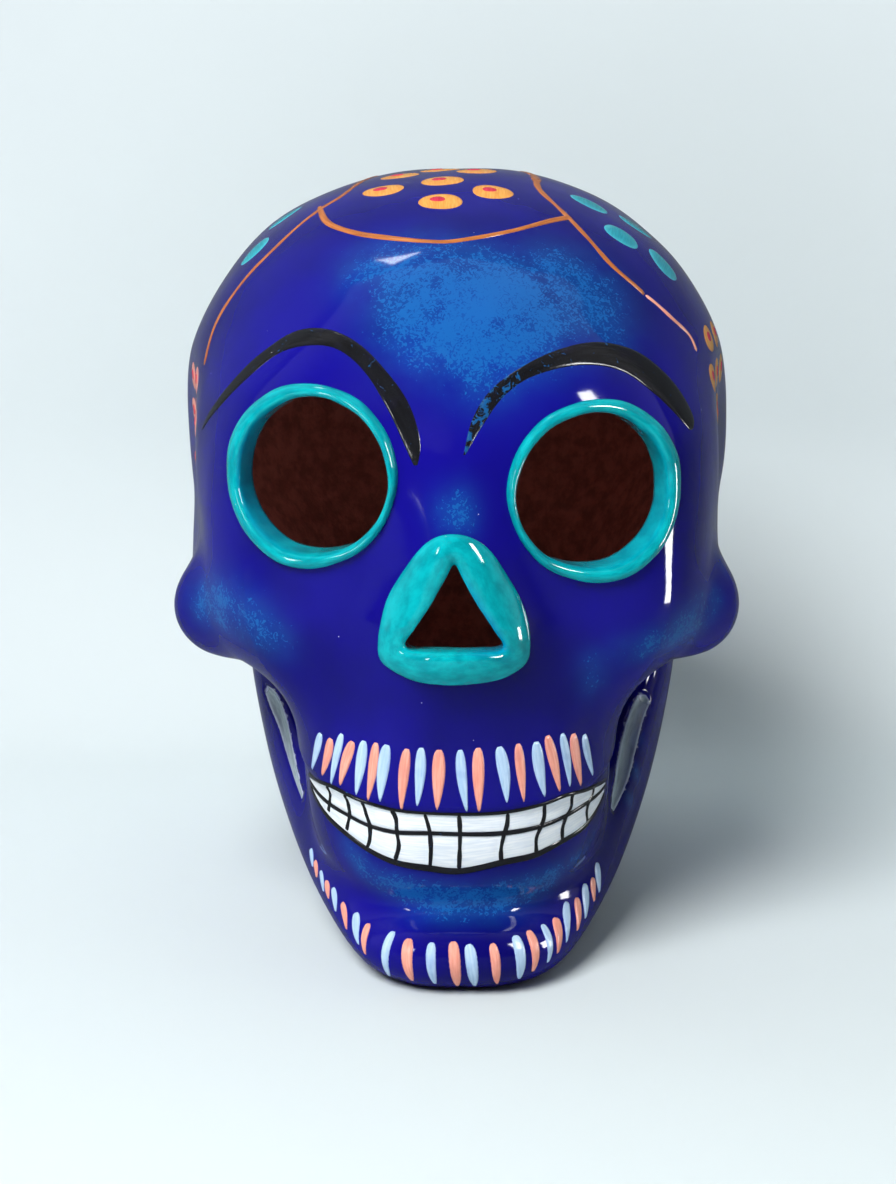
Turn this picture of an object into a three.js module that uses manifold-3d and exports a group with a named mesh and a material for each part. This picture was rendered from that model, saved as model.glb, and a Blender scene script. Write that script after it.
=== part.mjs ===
// Hand-painted hollow skull of fired, glazed clay, in millimetres.
// It stands on the tip of the chin and on the rim of its open neck, faces -Y and has +Z up.
import * as THREE from 'three';
import { mergeVertices } from 'three/addons/utils/BufferGeometryUtils.js';
import Module from 'manifold-3d';

// Cranium: a superellipsoid that carries the other forms.
const CRANIUM_WIDTH = 131;
const CRANIUM_DEPTH = 164;
const CRANIUM_HEIGHT = 120;
const CRANIUM_BACK = 7;
const CRANIUM_RISE = 114;

// Neck: the oval that the skull stands on, open below. Insets are measured from the cranium's side.
const NECK_INSET = 19.5;
const NECK_DEPTH = 108;
const NECK_HEIGHT = 128;
const NECK_BACK = 26;
const NECK_RISE = 50;

// Temples: a shallow hollow pressed into each side behind the brow.
const TEMPLE_DEPTH = 4.5;
const TEMPLE_THICKNESS = 34;
const TEMPLE_SPAN = 52;
const TEMPLE_FORWARD = 24;
const TEMPLE_RISE = 112;

// Face: forehead and orbits as one broad block.
const FACE_INSET = 9;
const FACE_DEPTH = 90;
const FACE_HEIGHT = 86;
const FACE_FORWARD = 34;
const FACE_RISE = 103;

// Cheekbone: a tapered bar from beside the nose to the cheek and back to the temple.
const CHEEK_INNER_INSET = 31.5;
const CHEEK_INNER_FORWARD = 56;
const CHEEK_INNER_RISE = 79;
const CHEEK_INNER_RADIUS = 14;
const CHEEK_TIP_INSET = 12.5;
const CHEEK_TIP_FORWARD = 36;
const CHEEK_TIP_RISE = 77;
const CHEEK_TIP_RADIUS = 9.5;
const CHEEK_END_INSET = 9.5;
const CHEEK_END_RISE = 86;
const CHEEK_END_RADIUS = 6;

// Nasal mound: a tapered bar from between the eyes down to the nose opening.
const NASAL_TOP_FORWARD = 74;
const NASAL_TOP_RISE = 114;
const NASAL_TOP_RADIUS = 7;
const NASAL_FOOT_FORWARD = 76;
const NASAL_FOOT_RISE = 82;
const NASAL_FOOT_RADIUS = 13;

// Muzzle: the barrel that carries the teeth. Its wall steps in below the upper lip.
const MUZZLE_INSET = 29.5;
const MUZZLE_DEPTH = 77;
const MUZZLE_HEIGHT = 92;
const MUZZLE_FORWARD = 45;
const MUZZLE_RISE = 48;
const LIP_STEP = 1.2;
const LIP_ROUNDING = 5;

// Radii with which one form flows into the next.
const NECK_BLEND = 16;
const TEMPLE_BLEND = 10;
const FACE_BLEND = 10;
const CHEEK_BLEND = 12;
const CHEEK_BAR_BLEND = 8;
const MUZZLE_BLEND = 16;

// Jaw: a bar of oval section from the chin round to the ears, pressed a little askew by hand.
const LEFT_JAW_INSET = 17.5;
const RIGHT_JAW_INSET = 20.5;
const CHIN_SIDE = 1;
const JAW_CHIN_FORWARD = 74;
const JAW_LENGTH = 83;
const JAW_RISE = 72;
const JAW_THICKNESS = 11;
const JAW_DEPTH = 14;
const JAW_REAR_FORWARD = 22;
const SLOT_WIDTH = 4.6;
const SLOT_DEPTH = 9;
const SLOT_PROUD = 2.5;

// The middle of the hollow, from which every outline on the clay is cast outwards.
const CENTRE_FORWARD = 8;
const CENTRE_RISE = 78;

// Clay, clearances and the enamel laid on the clay.
const WALL = 5.5;
const CLEARANCE = 0.3;
const ENAMEL = 0.45;
const OVERRUN = 12;

// Mouth: rows of teeth on either side of a bite line that climbs towards the ears.
const BITE_FRONT_FORWARD = 82.3;
const BITE_FRONT_RISE = 36.8;
const UPPER_TOOTH_HEIGHT = 5;
const LOWER_TOOTH_HEIGHT = 9.5;
const TOOTH_LINE_WIDTH = 0.8;
const MOUTH_EDGE_WIDTH = 1.2;

// Eyes: each opening is lined with a clay rim, proud of the face, that spans from a margin at the
// face's side to a clear space beside the middle plane. The rim is narrower towards the nose,
// because its opening is shifted that way. One eye sits a little lower than the other.
const LEFT_EYE_MARGIN = 7;
const LEFT_EYE_NOSE_SPACE = 10.9;
const RIGHT_EYE_MARGIN = 4.4;
const RIGHT_EYE_NOSE_SPACE = 13.5;
const EYE_RIM_HEIGHT = 38.6;
const EYE_RIM_BAND = 3;
const EYE_OPENING_SHIFT = 1;
const EYE_FORWARD = 76;
const EYE_RISE = 111;
const EYE_STAGGER = 1.5;

// Nose: an opening shaped like a rounded triangle, with a broader rim, a drop below the eyes.
const NOSE_RIM_WIDTH = 31.8;
const NOSE_RIM_HEIGHT = 31.8;
const NOSE_OPENING_WIDTH = 21;
const NOSE_OPENING_HEIGHT = 18;
const NOSE_OPENING_LIFT = 0.5;
const NOSE_DROP = 25.3;
const NOSE_SIDE = -0.8;
const RIM_PROUD = 1.8;
const RIM_DEPTH = 7;

// Brush strokes: eyebrows, lines over the crown and dots between them.
const BROW_WIDTH = 4.8;
const CROWN_LINE_WIDTH = 1.4;
const CROWN_DOT_WIDTH = 9;
const TEAL_DOT_WIDTH = 8;

// Numbers without a unit: roundness of each form, slopes, angles and mesh counts.
const CRANIUM_POWER = 2.2;
const NECK_POWER = 2.1;
const FACE_POWER = 2.6;
const MUZZLE_POWER = 2.3;
const TEMPLE_POWER = 2;
const BITE_SLOPE = 0.33;
const LIP_SLOPE = 0.17;
const MOUTH_HALF_ANGLE = THREE.MathUtils.degToRad(60);
const EYE_TURN = THREE.MathUtils.degToRad(18);
const NOSE_LEAN = THREE.MathUtils.degToRad(4);
const LEFT_SLOT_TURN = THREE.MathUtils.degToRad(20);
const RIGHT_SLOT_TURN = THREE.MathUtils.degToRad(36);
const OUTER_AROUND = 60;
const OUTER_ACROSS = 34;
const INNER_AROUND = 36;
const INNER_ACROSS = 20;
const FACE_CROWDING_SHARE = 0.35;
const JAW_STEPS = 3;
const JAW_SIDES = 14;
const LOOP_POINTS = 36;
const MOUTH_STEPS = 16;
const STROKE_STEPS = 12;
const DOT_SIDES = 12;
const MARCH_STEPS = 70;
const MARCH_SHARE = 0.8;

// Jaw stations: shares of the way from chin to ear, length, rise, thickness and depth of the bar.
const JAW_STATION_SHARES = [
  [0, 0, 0.104, 1, 0.58],
  [0.19, 0.016, 0.108, 0.955, 0.58],
  [0.372, 0.115, 0.13, 0.8, 0.57],
  [0.61, 0.37, 0.25, 0.682, 0.66],
  [0.81, 0.69, 0.415, 0.636, 0.88],
  [0.94, 0.9, 0.6, 0.591, 1],
  [1, 0.988, 0.806, 0.591, 1],
  [1, 1, 1, 0.545, 0.857],
];
const SLOT_STATION_SHARES = [0.465, 0.7];
const SLOT_END_SHARE = 0.04;

// Nose outline: shares of half width and half height, from the top round one side to the foot.
const NOSE_RIM_SHARES = [
  [0, 1], [0.37, 0.87], [0.67, 0.5], [0.91, 0.04], [1, -0.44], [0.93, -0.75], [0.55, -0.95], [0, -1],
];
const NOSE_OPENING_SHARES = [
  [0, 1], [0.15, 0.72], [0.43, 0.14], [0.78, -0.5], [0.96, -0.86], [0.84, -1], [0.42, -1], [0, -1],
];

// Rim section: share of the way from the outer edge to the opening, and height above the face
// as a share of the rim's proud height where positive, of its depth where negative.
const RIM_SECTION_SHARES = [[0, -1], [0, 0.35], [0.22, 0.9], [0.5, 1], [0.8, 0.7], [1, -0.1], [1, -1]];

// Eyebrows: shares of the way from the eye's centre to the face's side if positive, or to the
// skull's middle plane if negative; shares of the rim's half height above the eye's centre; then
// the stroke's width at that point as a share of its full width.
const LEFT_BROW_SHARES = [
  [-0.966, 0.46, 0.12], [-0.872, 0.78, 0.5], [-0.735, 1.07, 0.8], [-0.535, 1.3, 0.95],
  [-0.235, 1.44, 1], [0.074, 1.44, 1], [0.41, 1.25, 1], [0.661, 0.86, 0.9], [0.776, 0.58, 0.4],
];
const RIGHT_BROW_SHARES = [
  [1.004, 0.38, 0.15], [0.781, 0.79, 0.6], [0.495, 1.13, 0.85], [0.161, 1.41, 0.9],
  [-0.119, 1.48, 0.95], [-0.309, 1.4, 1], [-0.482, 1.14, 1], [-0.625, 0.79, 1],
  [-0.711, 0.42, 0.8], [-0.751, 0.2, 0.5],
];

// Crown strokes: shares of the cranium's half width, half depth and half height from its centre.
const CROWN_ARC_SHARES = [
  [-0.48, -0.31, 0.86], [-0.43, -0.48, 0.82], [-0.28, -0.62, 0.79], [-0.11, -0.68, 0.77],
  [0.04, -0.68, 0.77], [0.2, -0.62, 0.8], [0.38, -0.48, 0.84],
];
const CROWN_RIGHT_LINE_SHARES = [
  [-0.3, 0.05, 0.95], [-0.48, -0.31, 0.86], [-0.61, -0.42, 0.74], [-0.77, -0.44, 0.56],
  [-0.84, -0.44, 0.42], [-0.88, -0.48, 0.28],
];
const CROWN_LEFT_LINE_SHARES = [
  [0.24, 0.05, 0.97], [0.28, -0.28, 0.94], [0.38, -0.48, 0.84], [0.5, -0.61, 0.7],
  [0.62, -0.63, 0.57], [0.7, -0.61, 0.49], [0.79, -0.55, 0.41],
];
const FLOWER_DOT_SHARES = [
  [-0.05, -0.3, 0.9], [-0.055, -0.48, 0.88], [-0.25, -0.34, 0.9], [0.12, -0.4, 0.91],
  [-0.2, -0.14, 0.96], [0.07, -0.16, 0.97], [-0.06, -0.06, 0.98],
];
const TEAL_DOT_SHARES = [
  [0.46, -0.28, 0.86], [0.56, -0.44, 0.76], [0.63, -0.22, 0.78],
  [0.71, -0.4, 0.65], [-0.71, -0.3, 0.7], [-0.62, -0.14, 0.82],
];
// Tooth rows: how much of its height each row loses at the corners, and how late.
const UPPER_TAPER_SHARE = 0.6;
const UPPER_TAPER_POWER = 6;
const LOWER_TAPER_SHARE = 0.93;
const LOWER_TAPER_POWER = 2;

// Lines between teeth: shares of the mouth's half angle.
const TOOTH_LINE_SHARES = [-0.84, -0.69, -0.56, -0.38, -0.17, 0.01, 0.28, 0.51, 0.7, 0.86];

const wasm = await Module();
wasm.setup();

const vec = (x, y, z) => new THREE.Vector3(x, y, z);
const centre = vec(0, -CENTRE_FORWARD, CENTRE_RISE);
const craniumSide = CRANIUM_WIDTH / 2;
const faceSide = craniumSide - FACE_INSET;

// Distance fields: negative inside the clay.

// Smooth union of two distances; the seam between the forms is rounded by the blend.
function blend(a, b, radius) {
  const overlap = Math.max(radius - Math.abs(a - b), 0) / radius;
  return Math.min(a, b) - (overlap * overlap * radius) / 4;
}

// Superellipsoid given by its middle, its three sizes and its power.
function egg(x, y, z, middle, sizes, power) {
  const radii = sizes.map((size) => size / 2);
  const q = [x - middle[0], y - middle[1], z - middle[2]].map((d, i) => Math.abs(d) / radii[i]);
  const reach = Math.max((q[0] ** power + q[1] ** power + q[2] ** power) ** (1 / power), Number.EPSILON);
  const slope = Math.hypot(...q.map((share, i) => share ** (power - 1) / radii[i]));
  return (reach - 1) / Math.max(slope / reach ** (power - 1), Number.EPSILON);
}

// Bar with a radius that tapers from its start to its end.
function bar(x, y, z, start, end, startRadius, endRadius) {
  const run = end.map((value, i) => value - start[i]);
  const to = [x - start[0], y - start[1], z - start[2]];
  const along = to[0] * run[0] + to[1] * run[1] + to[2] * run[2];
  const share = THREE.MathUtils.clamp(along / (run[0] ** 2 + run[1] ** 2 + run[2] ** 2), 0, 1);
  const off = Math.hypot(to[0] - run[0] * share, to[1] - run[1] * share, to[2] - run[2] * share);
  return off - THREE.MathUtils.lerp(startRadius, endRadius, share);
}

// Height of the bite line, and of the lip above it, over a point that lies y from the middle.
const biteRise = (y) => BITE_FRONT_RISE + BITE_SLOPE * (y + BITE_FRONT_FORWARD);
const lipRise = (y) => BITE_FRONT_RISE + UPPER_TOOTH_HEIGHT + LIP_SLOPE * (y + BITE_FRONT_FORWARD);

// The whole outer form without the jaw bar. Both sides are alike.
function skullDistance(point) {
  const [x, y, z] = [Math.abs(point.x), point.y, point.z];
  const craniumSizes = [CRANIUM_WIDTH, CRANIUM_DEPTH, CRANIUM_HEIGHT];
  const cranium = egg(x, y, z, [0, CRANIUM_BACK, CRANIUM_RISE], craniumSizes, CRANIUM_POWER);
  const neckSizes = [2 * (craniumSide - NECK_INSET), NECK_DEPTH, NECK_HEIGHT];
  const neck = egg(x, y, z, [0, NECK_BACK, NECK_RISE], neckSizes, NECK_POWER);
  const templeSide = craniumSide + TEMPLE_THICKNESS / 2 - TEMPLE_DEPTH;
  const templeSizes = [TEMPLE_THICKNESS, TEMPLE_SPAN, TEMPLE_SPAN];
  const temple = egg(x, y, z, [templeSide, -TEMPLE_FORWARD, TEMPLE_RISE], templeSizes, TEMPLE_POWER);
  let distance = blend(cranium, neck, NECK_BLEND);
  distance = -blend(-distance, temple, TEMPLE_BLEND);

  const inner = [craniumSide - CHEEK_INNER_INSET, -CHEEK_INNER_FORWARD, CHEEK_INNER_RISE];
  const tip = [craniumSide - CHEEK_TIP_INSET, -CHEEK_TIP_FORWARD, CHEEK_TIP_RISE];
  const end = [craniumSide - CHEEK_END_INSET, 0, CHEEK_END_RISE];
  const nasalTop = [0, -NASAL_TOP_FORWARD, NASAL_TOP_RISE];
  const nasalFoot = [0, -NASAL_FOOT_FORWARD, NASAL_FOOT_RISE];
  const faceSizes = [2 * faceSide, FACE_DEPTH, FACE_HEIGHT];
  let face = egg(x, y, z, [0, -FACE_FORWARD, FACE_RISE], faceSizes, FACE_POWER);
  face = blend(face, bar(x, y, z, inner, tip, CHEEK_INNER_RADIUS, CHEEK_TIP_RADIUS), CHEEK_BLEND);
  face = blend(face, bar(x, y, z, tip, end, CHEEK_TIP_RADIUS, CHEEK_END_RADIUS), CHEEK_BAR_BLEND);
  face = blend(face, bar(x, y, z, nasalTop, nasalFoot, NASAL_TOP_RADIUS, NASAL_FOOT_RADIUS), FACE_BLEND);
  distance = blend(distance, face, FACE_BLEND);

  const muzzleSizes = [2 * (craniumSide - MUZZLE_INSET), MUZZLE_DEPTH, MUZZLE_HEIGHT];
  const muzzle = egg(x, y, z, [0, -MUZZLE_FORWARD, MUZZLE_RISE], muzzleSizes, MUZZLE_POWER);
  const belowLip = THREE.MathUtils.smoothstep(lipRise(y) - z, -LIP_ROUNDING / 2, LIP_ROUNDING / 2);
  return blend(distance, muzzle + LIP_STEP * belowLip, MUZZLE_BLEND);
}

// The point where a ray from a start meets the form grown by a level.
function surfacePoint(start, direction, level) {
  const point = start.clone();
  for (let step = 0; step < MARCH_STEPS; step++) {
    point.addScaledVector(direction, -(skullDistance(point) - level) * MARCH_SHARE);
  }
  return point;
}

// Solids from rings of points.

// A closed solid through rings with the same number of points. Open chains of rings end in a
// fan about the ring's middle; a loop of rings joins its last ring to its first.
function loft(rings, isLoop = false) {
  const count = rings[0].length;
  const points = rings.flat();
  const faces = [];
  const spans = isLoop ? rings.length : rings.length - 1;
  for (let i = 0; i < spans; i++) {
    for (let j = 0; j < count; j++) {
      const a = i * count + j;
      const b = i * count + ((j + 1) % count);
      const c = ((i + 1) % rings.length) * count + ((j + 1) % count);
      const d = ((i + 1) % rings.length) * count + j;
      faces.push([a, b, c], [a, c, d]);
    }
  }
  if (!isLoop) {
    for (const [first, turn] of [[0, 1], [(rings.length - 1) * count, 0]]) {
      const middle = vec(0, 0, 0);
      for (let j = 0; j < count; j++) middle.add(points[first + j]);
      points.push(middle.divideScalar(count));
      for (let j = 0; j < count; j++) {
        const edge = [first + j, first + ((j + 1) % count)];
        faces.push(turn ? [points.length - 1, edge[1], edge[0]] : [points.length - 1, ...edge]);
      }
    }
  }
  let volume = 0;
  for (const [a, b, c] of faces) volume += points[a].dot(points[b].clone().cross(points[c]));
  if (volume < 0) faces.forEach((face) => face.reverse());
  const geometry = new THREE.BufferGeometry().setFromPoints(points);
  geometry.setIndex(faces.flat());
  return solidOf(geometry);
}

function solidOf(geometry) {
  const bare = geometry.clone();
  bare.deleteAttribute('normal');
  bare.deleteAttribute('uv');
  const merged = mergeVertices(bare);
  const vertProperties = Float32Array.from(merged.attributes.position.array);
  const triVerts = Uint32Array.from(merged.index.array);
  return new wasm.Manifold(new wasm.Mesh({ numProp: 3, vertProperties, triVerts }));
}

function geometryOf(solid) {
  const mesh = solid.getMesh();
  const positions = Float32Array.from(mesh.vertProperties);
  const geometry = new THREE.BufferGeometry();
  geometry.setAttribute('position', new THREE.BufferAttribute(positions, mesh.numProp));
  geometry.setIndex(new THREE.BufferAttribute(Uint32Array.from(mesh.triVerts), 1));
  geometry.computeVertexNormals();
  return geometry;
}

// A box between two corners.
function block(low, high) {
  const size = high.clone().sub(low);
  const geometry = new THREE.BoxGeometry(size.x, size.y, size.z);
  geometry.translate(low.x + size.x / 2, low.y + size.y / 2, low.z + size.z / 2);
  return solidOf(geometry);
}

// The form grown by a level, as a solid of rings about the axis from ear to ear, closer on the face.
function formSolid(level, around, across) {
  const rings = [];
  for (let row = 1; row < across; row++) {
    const swing = THREE.MathUtils.lerp(-Math.PI / 2, Math.PI / 2, row / across);
    const ring = [];
    for (let column = 0; column < around; column++) {
      const turn = (column / around) * 2 * Math.PI;
      const tilt = turn - FACE_CROWDING_SHARE * Math.sin(turn);
      const [forward, up] = [Math.cos(tilt) * Math.cos(swing), Math.sin(tilt) * Math.cos(swing)];
      const direction = vec(Math.sin(swing), -forward, up);
      ring.push(surfacePoint(centre, direction, level));
    }
    rings.push(ring);
  }
  return loft(rings);
}

// Everything of the skull lies inside this block, whose underside is the ground.
const roomCorner = vec(CRANIUM_WIDTH, CRANIUM_DEPTH, CRANIUM_RISE + CRANIUM_HEIGHT);
const aboveGround = block(vec(-roomCorner.x, -roomCorner.y, 0), roomCorner);
const behindSeam = block(vec(-roomCorner.x, CRANIUM_BACK, 0), roomCorner);
const seamCorner = vec(roomCorner.x, CRANIUM_BACK, roomCorner.z);
const beforeSeam = block(vec(-roomCorner.x, -roomCorner.y, 0), seamCorner);

// The space below the bite line and before the jaw's rear edge, drawn in by a margin.
function jawSpace(margin) {
  const rear = -JAW_REAR_FORWARD - margin;
  const front = -roomCorner.y;
  const shape = new THREE.Shape();
  shape.moveTo(front, -OVERRUN);
  shape.lineTo(rear, -OVERRUN);
  shape.lineTo(rear, biteRise(rear) - margin);
  shape.lineTo(front, biteRise(front) - margin);
  const geometry = new THREE.ExtrudeGeometry(shape, { depth: 2 * roomCorner.x, bevelEnabled: false });
  const placement = new THREE.Matrix4().makeBasis(vec(0, 1, 0), vec(0, 0, 1), vec(1, 0, 0));
  geometry.applyMatrix4(placement.setPosition(-roomCorner.x, 0, 0));
  return solidOf(geometry);
}

const outerForm = formSolid(0, OUTER_AROUND, OUTER_ACROSS);
const clearForm = formSolid(CLEARANCE, OUTER_AROUND, OUTER_ACROSS);
const cavity = formSolid(-WALL, INNER_AROUND, INNER_ACROSS);

// Jaw bar

const mirrored = (point) => vec(-point.x, point.y, point.z);

// Points of the bar from the chin to one ear, whose distance from the middle plane is given.
const jawPoints = (earSide) => JAW_STATION_SHARES.map(([share, along, rise]) => {
  const side = THREE.MathUtils.lerp(CHIN_SIDE, earSide, share);
  return vec(side, along * JAW_LENGTH - JAW_CHIN_FORWARD, rise * JAW_RISE);
});
const leftJawPoints = jawPoints(craniumSide - LEFT_JAW_INSET);
const rightJawPoints = jawPoints(RIGHT_JAW_INSET - craniumSide);
const allJawPoints = [...rightJawPoints.slice(1).reverse(), ...leftJawPoints];
const jawCurve = new THREE.CatmullRomCurve3(allJawPoints, false, 'catmullrom');

// Frame and half sizes of the jaw bar at a share of the way from the chin to the ear at +X, or
// to the other ear if negative.
function jawStation(share) {
  const place = Math.abs(share) * (JAW_STATION_SHARES.length - 1);
  const index = Math.min(Math.floor(place), JAW_STATION_SHARES.length - 2);
  const [before, after] = [JAW_STATION_SHARES[index], JAW_STATION_SHARES[index + 1]];
  const tangent = jawCurve.getTangent((1 + share) / 2);
  const upright = vec(0, BITE_SLOPE, 1).lerp(vec(0, -1, BITE_SLOPE), Math.abs(share));
  const outward = tangent.clone().cross(upright).normalize();
  return {
    point: jawCurve.getPoint((1 + share) / 2),
    outward,
    upward: outward.clone().cross(tangent),
    thickness: THREE.MathUtils.lerp(before[3], after[3], place - index) * JAW_THICKNESS,
    depth: THREE.MathUtils.lerp(before[4], after[4], place - index) * JAW_DEPTH,
  };
}

// Oval ring about a point, with half sizes along two directions.
function ovalRing(point, across, upward, halfAcross, halfUp, sides) {
  return Array.from({ length: sides }, (_, i) => {
    const turn = (i / sides) * 2 * Math.PI;
    const side = across.clone().multiplyScalar(Math.cos(turn) * halfAcross);
    return side.addScaledVector(upward, Math.sin(turn) * halfUp).add(point);
  });
}

function jawBar() {
  const steps = (JAW_STATION_SHARES.length - 1) * JAW_STEPS;
  const rings = [];
  for (let i = -steps; i <= steps; i++) {
    const { point, outward, upward, thickness, depth } = jawStation(i / steps);
    rings.push(ovalRing(point, outward, upward, thickness, depth, JAW_SIDES));
  }
  return loft(rings);
}

// The slot between jaw bar and muzzle, sunk into the bar on one side, at a turn outwards from
// the bar's front edge. The cutter stands a little proud of the bar.
function jawSlot(side, turn) {
  const rings = [];
  const [first, last] = SLOT_STATION_SHARES;
  for (let i = 0; i <= STROKE_STEPS; i++) {
    const share = THREE.MathUtils.lerp(first, last, i / STROKE_STEPS);
    const rounding = THREE.MathUtils.lerp(SLOT_END_SHARE, 1 - SLOT_END_SHARE, i / STROKE_STEPS);
    const taper = Math.sqrt(Math.sin(Math.PI * rounding));
    const { point, outward, upward, thickness, depth } = jawStation(side * share);
    const [sine, cosine] = [Math.sin(turn), Math.cos(turn)];
    const edge = point.addScaledVector(upward, depth * cosine).addScaledVector(outward, thickness * sine);
    const normal = upward.clone().multiplyScalar(cosine / depth).addScaledVector(outward, sine / thickness);
    normal.normalize();
    const across = normal.clone().cross(outward.clone().cross(upward)).normalize();
    edge.addScaledVector(normal, ((SLOT_PROUD - SLOT_DEPTH) / 2) * taper);
    const halfDepth = ((SLOT_DEPTH + SLOT_PROUD) / 2) * taper;
    rings.push(ovalRing(edge, across, normal, (SLOT_WIDTH / 2) * taper, halfDepth, JAW_SIDES));
  }
  return loft(rings);
}

const slots = jawSlot(1, LEFT_SLOT_TURN).add(jawSlot(-1, RIGHT_SLOT_TURN));

// Openings and their rims

const eye = (side, space, margin, rise) => ({ side, inner: space, outer: faceSide - margin, rise });
const leftEye = eye(1, LEFT_EYE_NOSE_SPACE, LEFT_EYE_MARGIN, EYE_RISE - EYE_STAGGER);
const rightEye = eye(-1, RIGHT_EYE_NOSE_SPACE, RIGHT_EYE_MARGIN, EYE_RISE + EYE_STAGGER);
const eyeSide = (eye) => (eye.outer + eye.inner) / 2;
const eyeMiddle = (eye) => vec(eye.side * eyeSide(eye), -EYE_FORWARD, eye.rise);

// Frame of an opening: two directions in its plane and one out of the face.
function openingFrame(middle, turn, lean) {
  const outwards = vec(Math.sin(turn) * Math.cos(lean), -Math.cos(turn) * Math.cos(lean), Math.sin(lean));
  const across = vec(0, 0, 1).cross(outwards).normalize();
  return { middle, across, upward: outwards.clone().cross(across), outwards };
}

const placeIn = (frame, flat) =>
  frame.middle.clone().addScaledVector(frame.across, flat.x).addScaledVector(frame.upward, flat.y);

function ovalOutline(width, height, shift) {
  const points = new THREE.EllipseCurve(shift, 0, width / 2, height / 2).getPoints(LOOP_POINTS);
  return points.slice(0, LOOP_POINTS);
}

// A closed outline from shares of its half sizes, given for one side and mirrored.
function shareOutline(shares, width, height, lift) {
  const oneSide = shares.map(([x, y]) => vec((x * width) / 2, (y * height) / 2 + lift, 0));
  const otherSide = oneSide.slice(1, -1).reverse().map(mirrored);
  const curve = new THREE.CatmullRomCurve3([...oneSide, ...otherSide], true);
  return Array.from({ length: LOOP_POINTS }, (_, i) => {
    const point = curve.getPoint(i / LOOP_POINTS);
    return new THREE.Vector2(point.x, point.y);
  });
}

// The outline moved outwards by a margin along its own normals.
function grown(outline, margin) {
  return outline.map((point, i) => {
    const before = outline[(i + outline.length - 1) % outline.length];
    const after = outline[(i + 1) % outline.length];
    const normal = new THREE.Vector2(after.y - before.y, before.x - after.x).normalize();
    if (normal.dot(point) < 0) normal.negate();
    return point.clone().addScaledVector(normal, margin);
  });
}

// The prism that an opening takes out of the face.
function openingCutter(frame, outline) {
  const rings = [-(RIM_DEPTH + 2 * OVERRUN), 2 * OVERRUN].map((height) =>
    grown(outline, CLEARANCE).map((flat) => placeIn(frame, flat).addScaledVector(frame.outwards, height)));
  return loft(rings);
}

// A rim follows the face round its outline, and its section runs from the outer edge inwards.
function rim(frame, outline, opening) {
  const rings = outline.map((flat, i) => {
    const start = placeIn(frame, flat);
    const surface = surfacePoint(start, frame.outwards, 0);
    const height = surface.sub(start).dot(frame.outwards);
    return RIM_SECTION_SHARES.map(([across, up]) => {
      const rise = height + (up > 0 ? up * RIM_PROUD : up * RIM_DEPTH);
      return placeIn(frame, flat.clone().lerp(opening[i], across)).addScaledVector(frame.outwards, rise);
    });
  });
  return loft(rings, true);
}

// The outline of an eye's rim, and that of its opening, drawn in by the rim's band.
function eyeOval(eye, band, shift) {
  const width = (eye.outer - eye.inner) / Math.cos(EYE_TURN);
  return ovalOutline(width - 2 * band, EYE_RIM_HEIGHT - 2 * band, -eye.side * shift);
}

const eyeOutline = (eye) => eyeOval(eye, 0, 0);
const eyeOpening = (eye) => eyeOval(eye, EYE_RIM_BAND, EYE_OPENING_SHIFT);
const noseOutline = shareOutline(NOSE_RIM_SHARES, NOSE_RIM_WIDTH, NOSE_RIM_HEIGHT, 0);
const noseOpeningSizes = [NOSE_OPENING_WIDTH, NOSE_OPENING_HEIGHT, NOSE_OPENING_LIFT];
const noseOpening = shareOutline(NOSE_OPENING_SHARES, ...noseOpeningSizes);
const leftEyeFrame = openingFrame(eyeMiddle(leftEye), EYE_TURN, 0);
const rightEyeFrame = openingFrame(eyeMiddle(rightEye), -EYE_TURN, 0);
const noseFrame = openingFrame(vec(NOSE_SIDE, -NASAL_FOOT_FORWARD, EYE_RISE - NOSE_DROP), 0, NOSE_LEAN);
const openings = openingCutter(leftEyeFrame, eyeOutline(leftEye))
  .add(openingCutter(rightEyeFrame, eyeOutline(rightEye)))
  .add(openingCutter(noseFrame, noseOutline));

// Enamel: thin layers that follow the clay, each cut to its outline by a cutter that spreads
// from the middle of the skull.

function enamelLayer(index) {
  const foot = CLEARANCE + index * (ENAMEL + CLEARANCE);
  const top = formSolid(foot + ENAMEL, OUTER_AROUND, OUTER_ACROSS);
  return top.subtract(formSolid(foot, OUTER_AROUND, OUTER_ACROSS));
}

const firstLayer = enamelLayer(0);
const secondLayer = enamelLayer(1);

// A point carried along its ray from the skull's middle, just inside or just outside the face.
const inwards = (point) => point.clone().lerp(centre, OVERRUN / CRANIUM_DEPTH);
const outwards = (point) => point.clone().lerp(centre, -OVERRUN / CRANIUM_DEPTH);

// A cutter between two edges, each a list of points on the face.
function stripCutter(oneEdge, otherEdge) {
  const spokes = (point) => [inwards(point), outwards(point)];
  return loft(oneEdge.map((point, i) => [...spokes(point), ...spokes(otherEdge[i]).reverse()]));
}

// A stroke of given half width along points on the face.
function strokeCutter(points, halfWidthAt) {
  const edges = [1, -1].map((side) => points.map((point, i) => {
    const along = points[Math.min(i + 1, points.length - 1)].clone().sub(points[Math.max(i - 1, 0)]);
    const across = along.cross(point.clone().sub(centre)).normalize();
    return point.clone().addScaledVector(across, side * halfWidthAt(i / (points.length - 1)));
  }));
  return stripCutter(...edges);
}

// Points on the face at even steps along a curve through a few places.
function spread(places, steps) {
  const curve = new THREE.CatmullRomCurve3(places);
  return Array.from({ length: steps + 1 }, (_, i) => curve.getPoint(i / steps));
}

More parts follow.
